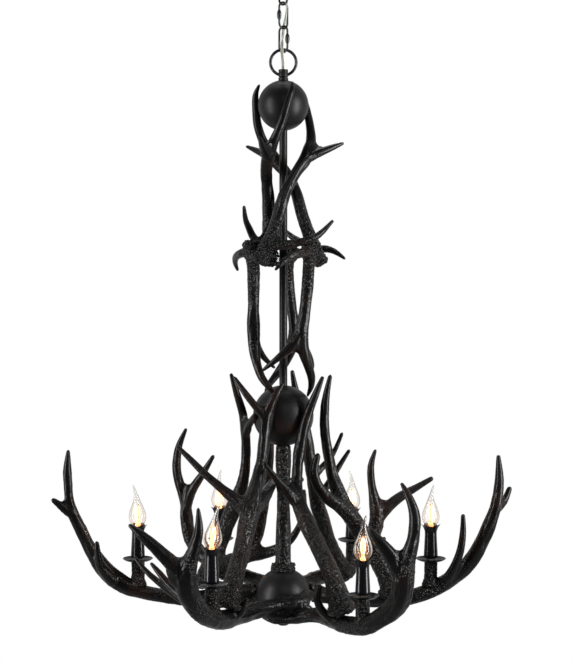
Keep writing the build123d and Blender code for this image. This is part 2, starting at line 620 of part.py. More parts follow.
antler("candle_antler_right", [
    [(51.5, 8, -1321, 17), (101, 10, -1332, 15), (182, 6, -1338, 13.5), (241, 0, -1333, 14.5),
     (292, 0, -1317, 15), (334, -2, -1292, 15), (367, -5, -1262, 14.5), (392, -8, -1220, 13.5),
     (410, -10, -1178, 13), (421, -12, -1141, 11.5), (426, -12, -1097, 9.5), (425, -8, -1052, 4.5)],
    [(417, -10, -1158, 9.5), (438, 8, -1142, 7.5), (450, 18, -1119, 5.5)],
    [(316, -6, -1304, 12.5), (334, -24, -1271, 9.5), (347, -30, -1234, 8), (352, -33, -1197, 6.5),
     (352, -35, -1165, 4.5)],
], burr=False)
antler("candle_antler_back_right", [
    [(25, 45, -1316, 14), (80, 134, -1316, 14.5), (133, 236, -1316, 15), (168, 284, -1298, 15.5),
     (192, 300, -1261, 16), (203, 308, -1222, 17), (199, 311, -1186, 13.5), (192, 311, -1148, 9),
     (190, 309, -1107, 7.5), (199, 306, -1074, 4)],
    [(202, 308, -1226, 14), (230, 313, -1194, 12.5), (261, 317, -1171, 10), (291, 320, -1154, 7.5),
     (322, 322, -1136, 5.5)],
    [(168, 284, -1298, 10), (200, 280, -1271, 7), (217, 276, -1259, 4.5)],
], burr=False)
antler("candle_antler_back_left", [
    [(-23.5, 46, -1316, 14), (-77, 134, -1316, 14.5), (-128, 238, -1316, 15), (-173, 285, -1298, 15.5),
     (-202, 305, -1262, 15), (-211, 312, -1216, 14.5), (-213, 313, -1190, 13), (-222, 314, -1158, 11),
     (-231, 314, -1126, 10), (-232, 313, -1094, 9.5), (-226, 311, -1061, 7.5), (-212, 308, -1028, 4)],
    [(-212, 311, -1206, 12), (-200, 300, -1162, 10.5), (-176, 290, -1124, 8), (-152, 284, -1084, 4.5)],
], burr=False)


# ---------------------------------------------------------------- candles

with BuildPart() as candle_cups:
    for name in CANDLES:
        base = candle_base(name)
        with BuildSketch(Plane(origin=base, x_dir=(1, 0, 0), z_dir=(0, -1, 0))):
            with BuildLine():
                Line((ROD_R + FIT, -4), (CUP_R, -4))
                Line((CUP_R, -4), (CUP_R, -CUP_H + 14))
                Spline((CUP_R, -CUP_H + 14), (CUP_R + 2, -CUP_H + 4), (CUP_R + 6, -CUP_H - 6))
                Polyline((CUP_R + 6, -CUP_H - 6), (ROD_R + FIT, -CUP_H - 6), (ROD_R + FIT, -4))
            make_face()
        revolve(axis=Axis(base, (0, 0, 1)))
finish(candle_cups, "candle_cups")

with BuildPart() as drip_pans:
    for name in CANDLES:
        base = candle_base(name)
        with BuildSketch(Plane(origin=base, x_dir=(1, 0, 0), z_dir=(0, -1, 0))):
            with BuildLine():
                Line((ROD_R + FIT, -3.8), (14, -3.8))
                ThreePointArc((14, -3.8), (23, -3), (PAN_R, 1.2))
                Line((PAN_R, 1.2), (PAN_R - 0.8, 2.2))
                ThreePointArc((PAN_R - 0.8, 2.2), (22.4, -1.9), (14, -2.6))
                Polyline((14, -2.6), (ROD_R + FIT, -2.6), (ROD_R + FIT, -3.8))
            make_face()
        revolve(axis=Axis(base, (0, 0, 1)))
finish(drip_pans, "drip_pans")

with BuildPart() as pan_nuts:
    for name in CANDLES:
        with BuildSketch(Plane(origin=candle_base(name) + Vector(0, 0, -2.4))):
            RegularPolygon(8.5, 6)
            Circle(ROD_R + FIT / 2, mode=Mode.SUBTRACT)
        extrude(amount=4)
finish(pan_nuts, "pan_nuts")

with BuildPart() as candle_nipples:
    for name in CANDLES:
        with BuildSketch(Plane(origin=candle_base(name) + Vector(0, 0, -CUP_H))):
            Circle(ROD_R)
            Circle(CORD_BORE_R, mode=Mode.SUBTRACT)
        extrude(amount=CUP_H + 9)
finish(candle_nipples, "candle_nipples")

with BuildPart() as lampholders:
    for name in CANDLES:
        with BuildSketch(Plane(origin=candle_base(name) + Vector(0, 0, 2))):
            Circle(HOLDER_R)
        extrude(amount=SLEEVE_H - 8)
        with BuildSketch(Plane(origin=candle_base(name) + Vector(0, 0, SLEEVE_H - 28))):
            Circle(SOCKET_R)
        extrude(amount=30, mode=Mode.SUBTRACT)
        with BuildSketch(Plane(origin=candle_base(name) + Vector(0, 0, 1))):
            Circle(ROD_R + FIT / 2)
        extrude(amount=8.2, mode=Mode.SUBTRACT)
finish(lampholders, "lampholders")

with BuildPart() as candle_sleeves:
    for name in CANDLES:
        base = candle_base(name)
        with BuildSketch(Plane(origin=base, x_dir=(1, 0, 0), z_dir=(0, -1, 0))):
            with BuildLine():
                Line((HOLDER_R + 0.2, 2), (HOLDER_R + 0.6, 2))
                ThreePointArc((HOLDER_R + 0.6, 2), (SLEEVE_R + 0.2, 4), (SLEEVE_R + 0.6, 7))
                Line((SLEEVE_R + 0.6, 7), (SLEEVE_R - 0.2, SLEEVE_H - 7))
                ThreePointArc((SLEEVE_R - 0.2, SLEEVE_H - 7), (SLEEVE_R + 0.8, SLEEVE_H - 1), (16.2, SLEEVE_H + 5))
                Line((16.2, SLEEVE_H + 5), (15.2, SLEEVE_H + 5.4))
                ThreePointArc((15.2, SLEEVE_H + 5.4), (12.4, SLEEVE_H + 1), (HOLDER_R + 0.2, SLEEVE_H - 5))
                Line((HOLDER_R + 0.2, SLEEVE_H - 5), (HOLDER_R + 0.2, 2))
            make_face()
        revolve(axis=Axis(base, (0, 0, 1)))
finish(candle_sleeves, "candle_sleeves")

# A bulb's section is (height above its seat, radius, sideways lean of the tip).
bulb_sections = [
    (-1, 8.6, 0), (2, 11.5, 0), (8, 15.6, 0), (16, 17.5, 0), (25, 17, 0), (35, 13.8, 0),
    (46, 9.2, 0.2), (56, 5.4, 0.8), (65, 3.2, 2), (74, 2, 4.2), (82, 1.2, 7),
]
BULB_WALL = 0.9
HOLLOW_SECTIONS = 8
BULB_LEANS = {"left": 165, "front_left": 80, "front_right": 40, "right": 20, "back_right": 160, "back_left": 30}


def bulb(name):
    """One flame-shaped bulb: the hollow glass, and the screw cap with the lit filament mount."""
    seat = candle_base(name) + Vector(0, 0, BULB_SEAT)
    lean = around(BULB_LEANS[name], 1, 0)
    with BuildPart() as glass:
        for height, radius, shift in bulb_sections:
            with BuildSketch(Plane(origin=seat + lean * shift + Vector(0, 0, height))):
                Circle(radius)
        loft()
        for height, radius, shift in bulb_sections[:HOLLOW_SECTIONS]:
            with BuildSketch(Plane(origin=seat + lean * shift + Vector(0, 0, height))):
                Circle(radius - BULB_WALL)
        loft(mode=Mode.SUBTRACT)
    finish(glass, f"bulb_glass_{name}")
    with BuildPart() as cap:
        with BuildSketch(Plane(origin=seat + Vector(0, 0, -27))):
            Circle(3)
        extrude(amount=3)
        with BuildSketch(Plane(origin=seat + Vector(0, 0, -24))):
            Circle(6.9)
        extrude(amount=22.8)
        with BuildSketch(Plane(origin=seat + Vector(0, 0, -1.2))):
            Circle(2.6)
        extrude(amount=16)
        for azimuth in (0, 90, 180, 270):
            with BuildSketch(Plane(origin=seat + around(azimuth, 1.6, 12))):
                Circle(0.8)
            extrude(amount=30)
    finish(cap, f"bulb_base_{name}")


for name in CANDLES:
    bulb(name)

# Screws: one through the bottom sphere's wall into each candle antler's root, one through each spider arm.
root_screws = [(180, -1322), (0, -1324), (60.5, -1318), (117, -1318), (318, -1326), (220, -1344)]
with BuildPart() as antler_screws:
    for azimuth, height in root_screws:
        rise = height - BOTTOM_SPHERE_Z
        outward = Vector(around(azimuth, sqrt(BOTTOM_SPHERE_R**2 - rise**2), rise)).normalized()
        head_end = BOTTOM_SPHERE_R - SPHERE_WALL - SCREW_HEAD[1]
        inner = Vector(0, 0, BOTTOM_SPHERE_Z) + outward * head_end
        with BuildSketch(Plane(origin=inner, z_dir=outward)):
            Circle(SCREW_HEAD[0])
        extrude(amount=SCREW_HEAD[1])
        with BuildSketch(Plane(origin=inner, z_dir=outward)):
            Circle(SCREW_R)
        extrude(amount=SCREW_REACH)
    for azimuth in SPIDER_ARMS:
        head_top = around(azimuth, SPIDER_REACH - 8, SPIDER_Z + 2 + SCREW_HEAD[1])
        with BuildSketch(Plane(origin=head_top)):
            Circle(SCREW_HEAD[0])
        extrude(amount=-SCREW_HEAD[1])
        with BuildSketch(Plane(origin=head_top)):
            Circle(SCREW_R)
        extrude(amount=-SCREW_REACH)
finish(antler_screws, "antler_screws")
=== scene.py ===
# %% [markdown]
# # A black antler chandelier
# The real object is a rustic ceiling light. Eighteen antlers, cast in resin from real ones and painted
# satin black, are screwed to three painted spheres on one axis, and six candle lamps stand on the lowest
# ring of them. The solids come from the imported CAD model. This script gives them their looks: the bark and
# the grooves of the antlers, the paint of the metal, the glass and the light of the lamps.

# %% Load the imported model
import json
import math

import bpy
import numpy as np
from mathutils import Matrix, Vector
from mathutils.bvhtree import BVHTree


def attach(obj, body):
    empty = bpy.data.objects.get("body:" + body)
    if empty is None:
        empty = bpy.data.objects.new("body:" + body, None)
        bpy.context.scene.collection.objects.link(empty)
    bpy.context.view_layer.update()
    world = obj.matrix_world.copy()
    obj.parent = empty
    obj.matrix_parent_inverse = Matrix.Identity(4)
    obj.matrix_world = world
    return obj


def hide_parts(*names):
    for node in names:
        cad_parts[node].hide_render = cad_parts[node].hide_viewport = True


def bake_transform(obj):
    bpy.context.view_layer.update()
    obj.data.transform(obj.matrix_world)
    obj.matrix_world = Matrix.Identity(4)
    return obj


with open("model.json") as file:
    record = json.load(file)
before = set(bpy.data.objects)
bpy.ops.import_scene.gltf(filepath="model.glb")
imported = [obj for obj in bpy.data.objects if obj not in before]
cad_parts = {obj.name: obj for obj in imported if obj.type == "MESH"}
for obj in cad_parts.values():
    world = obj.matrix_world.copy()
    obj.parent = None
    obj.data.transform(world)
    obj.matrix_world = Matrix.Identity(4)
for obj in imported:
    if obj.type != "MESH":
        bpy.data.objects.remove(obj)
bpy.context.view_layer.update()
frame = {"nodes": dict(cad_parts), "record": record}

NODES = frame["nodes"]
MM = 0.001

# %% [markdown]
# ## Camera
# The photograph was taken level, from about three metres, with the middle of the stem in line with the
# lens. The crop moved the picture a little, so the camera keeps looking straight ahead and its frame is
# shifted instead of tilting it, which would make the uprights lean.

# %% Camera
CAMERA_DISTANCE = 3.2
CAMERA_HEIGHT = -0.7027
LENS = 87.48
SHIFT = (0.0048, -0.0789)
camera = bpy.data.objects.new("camera", bpy.data.cameras.new("camera"))
bpy.context.scene.collection.objects.link(camera)
camera.location = (0, -CAMERA_DISTANCE, CAMERA_HEIGHT)
camera.rotation_euler = (math.radians(90), 0, 0)
camera.data.lens = LENS
camera.data.shift_x, camera.data.shift_y = SHIFT
bpy.context.scene.camera = camera
bpy.context.scene.view_settings.view_transform = "Standard"
print("camera", tuple(round(v, 3) for v in camera.location), "lens", camera.data.lens)

# %% [markdown]
# ## Studio
# The object hangs in front of white paper in a dim room. The room behind the camera is dark, so black
# paint stays black where it faces the camera and shows the white paper only along its edges. Two tall
# softboxes stand to the left and the right, a little in front, and make the two soft highlights on each
# black sphere. The camera and the glass see plain white all round.

# %% World
PAPER, ROOM = 0.80, 0.05


def seen_directly(tree, rays):
    """1 for what the camera sees, straight or through glass, and 0 for all other rays."""
    made = tree.nodes.new("ShaderNodeMath")
    made.operation = "MAXIMUM"
    tree.links.new(rays.outputs["Is Camera Ray"], made.inputs[0])
    tree.links.new(rays.outputs["Is Transmission Ray"], made.inputs[1])
    return made.outputs[0]


def room_to_paper(tree, vector, dim_at, bright_at, blend="LINEAR"):
    """The room's strength where the vector's Y is dim_at, growing to the paper's where it is bright_at."""
    split = tree.nodes.new("ShaderNodeSeparateXYZ")
    shade = tree.nodes.new("ShaderNodeMapRange")
    shade.interpolation_type = blend
    shade.inputs["From Min"].default_value = dim_at
    shade.inputs["From Max"].default_value = bright_at
    shade.inputs["To Min"].default_value = ROOM
    shade.inputs["To Max"].default_value = PAPER
    tree.links.new(vector, split.inputs[0])
    tree.links.new(split.outputs["Y"], shade.inputs["Value"])
    return shade.outputs[0]


world = bpy.data.worlds.new("studio")
bpy.context.scene.world = world
world.use_nodes = True
tree = world.node_tree
tree.nodes.clear()
direction = tree.nodes.new("ShaderNodeTexCoord").outputs["Generated"]
rays = tree.nodes.new("ShaderNodeLightPath")
white = tree.nodes.new("ShaderNodeBackground")
white.inputs["Color"].default_value = (1, 1, 1, 1)
studio = tree.nodes.new("ShaderNodeBackground")
either = tree.nodes.new("ShaderNodeMixShader")
out = tree.nodes.new("ShaderNodeOutputWorld")
tree.links.new(room_to_paper(tree, direction, -0.55, 0.75, "SMOOTHSTEP"), studio.inputs["Strength"])
tree.links.new(seen_directly(tree, rays), either.inputs[0])
tree.links.new(studio.outputs[0], either.inputs[1])
tree.links.new(white.outputs[0], either.inputs[2])
tree.links.new(either.outputs[0], out.inputs[0])
print("world", world.name, "with", len(tree.nodes), "nodes")


# %% Softboxes
def softbox(name, position, size, watts, aim=(0, 0, -0.85)):
    """A flat lamp of the given width and height that faces the object."""
    lamp = bpy.data.lights.new(name, "AREA")
    lamp.shape = "RECTANGLE"
    lamp.size, lamp.size_y = size
    lamp.energy = watts
    made = bpy.data.objects.new(name, lamp)
    bpy.context.scene.collection.objects.link(made)
    made.location = position
    made.rotation_euler = (Vector(aim) - Vector(position)).to_track_quat("-Z", "Y").to_euler()


softbox("softbox_left", (-2.5, -1.15, -0.65), (0.7, 2.6), 82)
softbox("softbox_right", (2.5, -1.15, -0.65), (0.7, 2.6), 122)
softbox("softbox_front", (0.6, -3.3, 1.2), (1.2, 0.8), 11)
softbox("softbox_top", (0, 0.5, 1.5), (1.2, 1.2), 18)

# %% [markdown]
# ## Floor
# A pale floor lies a metre below the lamps, as in a room. The camera and the glass see it as the same white
# as the backdrop. In the black paint it shows like the rest of the room, white behind and dim in front, and
# it throws a little light up on the undersides of the antlers.

# %% Floor
FLOOR_HEIGHT = -2.4
FLOOR_SIZE = 30
bpy.ops.object.select_all(action="DESELECT")
bpy.ops.mesh.primitive_plane_add(size=FLOOR_SIZE, location=(0, 0, FLOOR_HEIGHT))
floor = bpy.context.active_object
floor.name = "floor"
pale = bpy.data.materials.new("pale_floor")
pale.use_nodes = True
tree = pale.node_tree
shader = tree.nodes["Principled BSDF"]
shader.inputs["Base Color"].default_value = (0.6, 0.6, 0.6, 1)
shader.inputs["Roughness"].default_value = 0.9
place_on_floor = tree.nodes.new("ShaderNodeTexCoord").outputs["Object"]
rays = tree.nodes.new("ShaderNodeLightPath")
mirrored = tree.nodes.new("ShaderNodeEmission")
white = tree.nodes.new("ShaderNodeEmission")
either = tree.nodes.new("ShaderNodeMixShader")
last = tree.nodes.new("ShaderNodeMixShader")
tree.links.new(room_to_paper(tree, place_on_floor, -4.0, 6.0), mirrored.inputs["Strength"])
tree.links.new(rays.outputs["Is Glossy Ray"], either.inputs[0])
tree.links.new(shader.outputs[0], either.inputs[1])
tree.links.new(mirrored.outputs[0], either.inputs[2])
tree.links.new(seen_directly(tree, rays), last.inputs[0])
tree.links.new(either.outputs[0], last.inputs[1])
tree.links.new(white.outputs[0], last.inputs[2])
tree.links.new(last.outputs[0], tree.nodes["Material Output"].inputs[0])
floor.data.materials.append(pale)
print("floor at", floor.location.z)

# %% [markdown]
# ## Finishes
# Everything black on the object is one of four blacks: cast resin, with painted shade in its grooves and
# greyer ridges that are partly worn paint and partly painted highlight, satin paint on metal, the smooth
# black of the sleeves and pans, and the glossier black of the chain. Each is a dark base with a weak mirror
# on top, and small bumps that break the highlights up. Patterns are placed by Object coordinates, in metres.


# %% Material helpers
def new_material(name, colour, roughness, metallic=0.0, mirror=0.5):
    """A material with its shader's own values set, and its node tree and shader to build on."""
    made = bpy.data.materials.new(name)
    made.use_nodes = True
    shader = made.node_tree.nodes["Principled BSDF"]
    shader.inputs["Base Color"].default_value = (*colour, 1)
    shader.inputs["Roughness"].default_value = roughness
    shader.inputs["Metallic"].default_value = metallic
    shader.inputs["IOR"].default_value = 1.45
    shader.inputs["Specular IOR Level"].default_value = mirror
    return made, made.node_tree, shader


def attribute(tree, name):
    """A number that was written on the mesh's points."""
    made = tree.nodes.new("ShaderNodeAttribute")
    made.attribute_name = name
    return made.outputs["Fac"]


def between(tree, factor, low, high):
    """A number that goes from low to high as the factor goes from 0 to 1."""
    made = tree.nodes.new("ShaderNodeMapRange")
    made.inputs["To Min"].default_value = low
    made.inputs["To Max"].default_value = high
    tree.links.new(factor, made.inputs["Value"])
    return made.outputs[0]


def ramp(tree, factor, low, high, start=(0, 0, 0, 1), end=(1, 1, 1, 1)):
    """A colour that goes from start to end as the factor goes from low to high."""
    made = tree.nodes.new("ShaderNodeValToRGB")
    made.color_ramp.elements[0].position = low
    made.color_ramp.elements[0].color = start
    made.color_ramp.elements[1].position = high
    made.color_ramp.elements[1].color = end
    tree.links.new(factor, made.inputs[0])
    return made.outputs[0]


def bump(tree, height, distance, strength=1.0, below=None):
    """A bump node over a height, on top of another bump if one is given."""
    made = tree.nodes.new("ShaderNodeBump")
    made.inputs["Distance"].default_value = distance
    made.inputs["Strength"].default_value = strength
    tree.links.new(height, made.inputs["Height"])
    if below is not None:
        tree.links.new(below, made.inputs["Normal"])
    return made.outputs[0]


def place(tree):
    """Object coordinates, in metres."""
    return tree.nodes.new("ShaderNodeTexCoord").outputs["Object"]


def noise(tree, scale, detail):
    """Soft noise with about this many lumps to the metre, and finer ones in them."""
    made = tree.nodes.new("ShaderNodeTexNoise")
    made.inputs["Scale"].default_value = scale
    made.inputs["Detail"].default_value = detail
    tree.links.new(place(tree), made.inputs["Vector"])
    return made.outputs["Fac"]


def mix_colour(tree, factor, first, second):
    """A mix of two colours, each given as an output or as a plain colour."""
    made = tree.nodes.new("ShaderNodeMix")
    made.data_type = "RGBA"
    for socket, value in ((made.inputs[0], factor), (made.inputs[6], first), (made.inputs[7], second)):
        if isinstance(value, tuple):
            socket.default_value = value
        else:
            tree.links.new(value, socket)
    return made.outputs[2]


# %% [markdown]
# ### Cast resin
# The paint lies thin on the ridges and the fine grain of the cast shows grey there. The ridges are also
# lightened by a painted highlight, and the grooves are darkened by painted shade. The light caps of the fine
# pearls are painted glints. Here and there a warm brown shows through. The groove and bark attributes are
# written on the mesh when an antler is detailed, so the paint follows the shape.


# %% Cast resin
# Painted shade darkens the grooves. Worn paint with a painted highlight on top lightens the ridges.
PAINTED_SHADE_IN_GROOVES = (0.003, 0.0029, 0.0029, 1)
WORN_AND_HIGHLIT_RIDGES = (0.011, 0.0107, 0.0105, 1)
WARM_BROWN = (0.014, 0.0070, 0.0052, 1)
# Painted glints: the caps of the pearls are lighter, standing in for the glints of light on them.
PAINTED_PEARL_GLINTS = (0.075, 0.073, 0.071, 1)
PEARLS_PER_METRE = 235.0
PEARL_HEIGHT = 0.0026
SAND_HEIGHT = 0.0004
BLACK, GREY, WHITE = (0, 0, 0, 1), (0.5, 0.5, 0.5, 1), (1, 1, 1, 1)


def cast_resin():
    """Black paint on cast resin: painted shade in its grooves, worn paint and painted highlight on its
    ridges, painted glints on its pearls.
    """
    made, tree, shader = new_material("cast_resin", (0.006, 0.0058, 0.0056), 0.36, mirror=0.26)
    bark = attribute(tree, "bark")
    # The groove number picks the colour: painted shade in the grooves, worn paint and painted highlight on
    # the ridges.
    worn_highlit_and_shaded = ramp(tree, attribute(tree, "groove"), 0.45, 0.85, PAINTED_SHADE_IN_GROOVES, WORN_AND_HIGHLIT_RIDGES)
    brown = mix_colour(tree, ramp(tree, noise(tree, 9, 4), 0.56, 0.72), worn_highlit_and_shaded, WARM_BROWN)
    pearls = tree.nodes.new("ShaderNodeTexVoronoi")
    pearls.inputs["Scale"].default_value = PEARLS_PER_METRE
    tree.links.new(place(tree), pearls.inputs["Vector"])
    rise = ramp(tree, pearls.outputs["Distance"], 0.1, 0.6, WHITE, BLACK)
    height = mix_colour(tree, bark, BLACK, rise)
    # The highest parts of the pearls take the colour of the painted glints.
    glint_caps = ramp(tree, height, 0.35, 0.9, BLACK, (0.6, 0.6, 0.6, 1))
    tree.links.new(mix_colour(tree, glint_caps, brown, PAINTED_PEARL_GLINTS), shader.inputs["Base Color"])
    tree.links.new(between(tree, noise(tree, 70, 3), 0.2, 0.4), shader.inputs["Roughness"])
    pearly = bump(tree, height, PEARL_HEIGHT)
    sand = mix_colour(tree, bark, GREY, noise(tree, 500, 2))
    tree.links.new(bump(tree, sand, SAND_HEIGHT, 0.6, pearly), shader.inputs["Normal"])
    return made


# %% [markdown]
# ### Paint and plated metal
# The spheres, the stem, the pans and the sleeves are sprayed black. Sprayed paint is never quite even: its
# gloss wanders a little, and it has fine dimples like the peel of an orange. Soft noise drives both. Nuts,
# screws and lamp caps are bare metal, which is told from paint by its fine scratches.


# %% Paint and plated metal
def painted(name, colour, roughness, mirror, orange_peel=0.00006):
    """Paint on metal: a dark base whose gloss varies a little, and the fine dimples of sprayed paint."""
    made, tree, shader = new_material(name, colour, roughness, mirror=mirror)
    rough = between(tree, noise(tree, 40, 4), roughness - 0.04, roughness + 0.06)
    tree.links.new(rough, shader.inputs["Roughness"])
    tree.links.new(bump(tree, noise(tree, 900, 2), orange_peel), shader.inputs["Normal"])
    lighter = tuple(c * 1.35 for c in colour)
    shade = mix_colour(tree, ramp(tree, noise(tree, 15, 3), 0.4, 0.7), (*colour, 1), (*lighter, 1))
    tree.links.new(shade, shader.inputs["Base Color"])
    return made


def bright_metal(name, colour, roughness):
    """Plated steel or brass with the fine scratches of handling."""
    made, tree, shader = new_material(name, colour, roughness, metallic=1.0)
    scratches = noise(tree, 1500, 2)
    rough = between(tree, scratches, roughness * 0.7, roughness * 1.5)
    tree.links.new(rough, shader.inputs["Roughness"])
    tree.links.new(bump(tree, scratches, 0.00004), shader.inputs["Normal"])
    return made


# %% [markdown]
# ### Finishes of the CAD nodes
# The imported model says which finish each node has, so the materials are handed out from that list. The pans
# and the sleeves are painted like the spheres but smoother, so they get their own black.

# %% Finishes of the CAD nodes
RESIN = cast_resin()
SATIN = painted("satin_black", (0.005, 0.005, 0.0053), 0.40, 0.26)
SLEEVE = painted("sleeve_black", (0.0035, 0.0036, 0.0046), 0.2, 0.36, 0.00003)
GLOSS = painted("chain_black", (0.005, 0.005, 0.006), 0.18, 0.6, 0.00003)
STEEL = bright_metal("bright_steel", (0.66, 0.63, 0.56), 0.22)
ZINC = bright_metal("zinc_plate", (0.45, 0.45, 0.44), 0.38)
BRASS = bright_metal("cap_brass", (0.75, 0.55, 0.27), 0.3)
PLASTIC = painted("holder_plastic", (0.02, 0.02, 0.02), 0.5, 0.5)
FINISH = {
    "black_metal": SATIN, "chain_metal": GLOSS, "bright_steel": STEEL, "inner_steel": ZINC,
    "holder_plastic": PLASTIC, "cap_metal": BRASS, "antler_resin": RESIN,
}
for part in frame["record"]["subparts"]:
    finish = FINISH.get(part["material_slot"])
    if finish is not None:
        NODES[part["node"]].data.materials.clear()
        NODES[part["node"]].data.materials.append(finish)
for name in ("drip_pans", "candle_sleeves"):
    NODES[name].data.materials[0] = SLEEVE
print("finishes", sorted(m.name for m in FINISH.values()))

# %% [markdown]
# ## Noise for shapes
# A cast antler has three kinds of relief. Grooves and ridges run along each branch and bend with it.
# Pearls, small round grains, cover the thick lower parts. And the whole branch swells and flattens a
# little. All three are made from repeatable noise: a number for any point of space, so the same script
# gives the same shape.


# %% Noise in space
def cell_numbers(cells, seed, count):
    """Repeatable numbers from 0 to 1 for whole-numbered cells of space, count of them for each."""
    mixed = cells[..., 0] * 73856093 ^ cells[..., 1] * 19349663 ^ cells[..., 2] * 83492791 ^ seed * 2654435
    found = []
    for _ in range(count):
        mixed = (mixed * 1103515245 + 12345) & 0x7FFFFFFF
        found.append(((mixed >> 8) & 0xFFFF) / 65535.0)
    return np.stack(found, -1)


def smooth_noise(points, size, seed):
    """Soft noise from -1 to 1 whose lumps are about as large as size."""
    scaled = points / size
    cell = np.floor(scaled).astype(np.int64)
    share = scaled - cell
    share = share * share * (3 - 2 * share)
    total = np.zeros(len(points))
    for corner in np.ndindex(2, 2, 2):
        weight = np.prod(np.where(np.array(corner) == 1, share, 1 - share), axis=1)
        total += weight * cell_numbers(cell + np.array(corner), seed, 1)[:, 0]
    return total * 2 - 1


def grains(points, size, seed):
    """Distances to the nearest and the second nearest of scattered centres, in units of size."""
    cell = np.floor(points / size).astype(np.int64)
    nearest = np.full(len(points), 9.0)
    second = np.full(len(points), 9.0)
    for offset in np.ndindex(3, 3, 3):
        beside = cell + np.array(offset) - 1
        centre = beside + cell_numbers(beside, seed, 3)
        distance = np.linalg.norm(points / size - centre, axis=1)
        second = np.minimum(second, np.maximum(nearest, distance))
        nearest = np.minimum(nearest, distance)
    return nearest, second


print("noise at one point", smooth_noise(np.array([[0.1, 0.2, 0.3]]), 0.01, 1).round(3))

# %% [markdown]
# ## The run of a branch
# A groove has to know which way its branch runs. On a tube, every surface normal is square to the run, so
# the direction that the normals of a neighbourhood share least is the run itself. The normals are gathered
# in a coarse grid, blurred, and asked for that direction. Noise that is averaged for some centimetres
# along it comes out as long streaks that follow every bend and fork.


# %% Branch directions
class Run:
    """The direction of the branch near any point, from the normals of its surface."""

    CELL = 0.008

    def __init__(self, points, normals):
        self.low = points.min(0) - 4 * self.CELL
        self.shape = ((points.max(0) - self.low) / self.CELL).astype(int) + 5
        grid = np.zeros((*self.shape, 3, 3))
        np.add.at(grid, tuple(self.cells(points).T), normals[:, :, None] * normals[:, None, :])
        for axis in range(3):
            for _ in range(4):
                grid = (np.roll(grid, 1, axis) + 2 * grid + np.roll(grid, -1, axis)) / 4
        self.grid = np.trace(grid, axis1=3, axis2=4)[..., None, None] * np.eye(3) - grid

    def cells(self, points):
        """The grid cell of each point."""
        return np.clip(((points - self.low) / self.CELL).astype(int), 0, self.shape - 1)

    def start(self, points):
        """The run at each point, one way or the other."""
        return np.linalg.eigh(self.grid[tuple(self.cells(points).T)])[1][:, :, 2]

    def follow(self, points, direction):
        """The run at each point, the same way as the given direction."""
        found = self.grid[tuple(self.cells(points).T)]
        turned = direction
        for _ in range(2):
            turned = np.einsum("nij,nj->ni", found, turned)
            length = np.linalg.norm(turned, axis=1, keepdims=True)
            turned = np.where(length > 1e-12, turned / np.maximum(length, 1e-12), direction)
        return turned

    def trail(self, points, steps=9, step=0.0055):
        """Places along the branch from each point, both ways."""
        found = [points]
        first = self.start(points)
        for sign in (1, -1):
            here, direction = points, first * sign
            for _ in range(steps):
                direction = self.follow(here, direction)
                here = here + direction * step
                found.append(here)
        return found


def streaks(trail, size, seed):
    """Noise averaged along the branch, scaled so that its usual height is 1."""
    total = sum(smooth_noise(points, size, seed) for points in trail)
    return (total - total.mean()) / total.std()


# %% [markdown]
# ## Casting an antler
# Where an antler forks, skin once grew over the crotch, so the branches meet in a wide web. The web is made
# as one makes a fillet with a ball: a copy is blown up until the gap in the crotch closes and is then let
# down again, and what it gained is joined to the antler. The whole is remeshed with small even faces and
# every point is moved along its normal: a little for the swell of the branch, in for the grooves and out
# for the pearls. Grooves are deep on a thick beam and fade to the tips, which are worn smooth. Around the
# burrs, the knobbly foot of an antler, the grains are as large as beans. A palm, the wide flat part below a
# fork, starts as a flattened ball that is joined to the antler before it is remeshed.

# %% Measures of the antlers
# The face sizes of a finished antler, of the copy that is blown up for a web and of the blown-up web, and
# how far the web is let down below the skin that it grew from.
VOXEL, COPY_VOXEL, WEB_VOXEL, WEB_SINK = 0.0015, 0.0028, 0.0026, 0.0003
# How round the hollow of each fork is, with a cut where only the side before a plane gets that web.
WEBS = {
    "candle_antler_front_left": [(0.0042, None), (0.008, -0.302)],
    "candle_antler_front_right": [(0.0065, None)],
    "candle_antler_right": [(0.0045, None)],
    "candle_antler_left": [(0.004, None)],
    "upright_antler_right": [(0.006, None)],
    "upright_antler_back_right": [(0.005, None)],
    "upright_antler_front_left": [(0.0075, None)],
}
USUAL_WEB = [(0.011, None)]
# Palms: (middle, half sizes, turn about Y in degrees).
PALMS = {
    "candle_antler_front_left": [
        ((-187, -336, -1227), (31, 11, 17), 60), ((-8, -70, -1341), (64, 12, 19), 0)],
    "candle_antler_back_right": [((219, 310, -1200), (20, 8, 12), -43)],
}
# How far from an antler's foot each kind of relief reaches, in metres.
BARK_REACH, SPECK_REACH, KNOB_REACH, ROPE_REACH = 0.085, 0.19, 0.034, 0.10
PEARL_SIZE, BEAN_SIZE = 0.0056, 0.0105
RIDGE_SIZE, BROAD_SIZE, NARROW_SIZE = 0.012, 0.0072, 0.0038
# The thickness of a branch is looked for from just inside its skin, and up to a limit. Grooves, and patches
# of pearls, begin at the first of two thicknesses and are full at the second.
JUST_INSIDE, MOST_THICKNESS = 0.0006, 0.045
GROOVED, PEARLED = (0.009, 0.027), (0.022, 0.034)
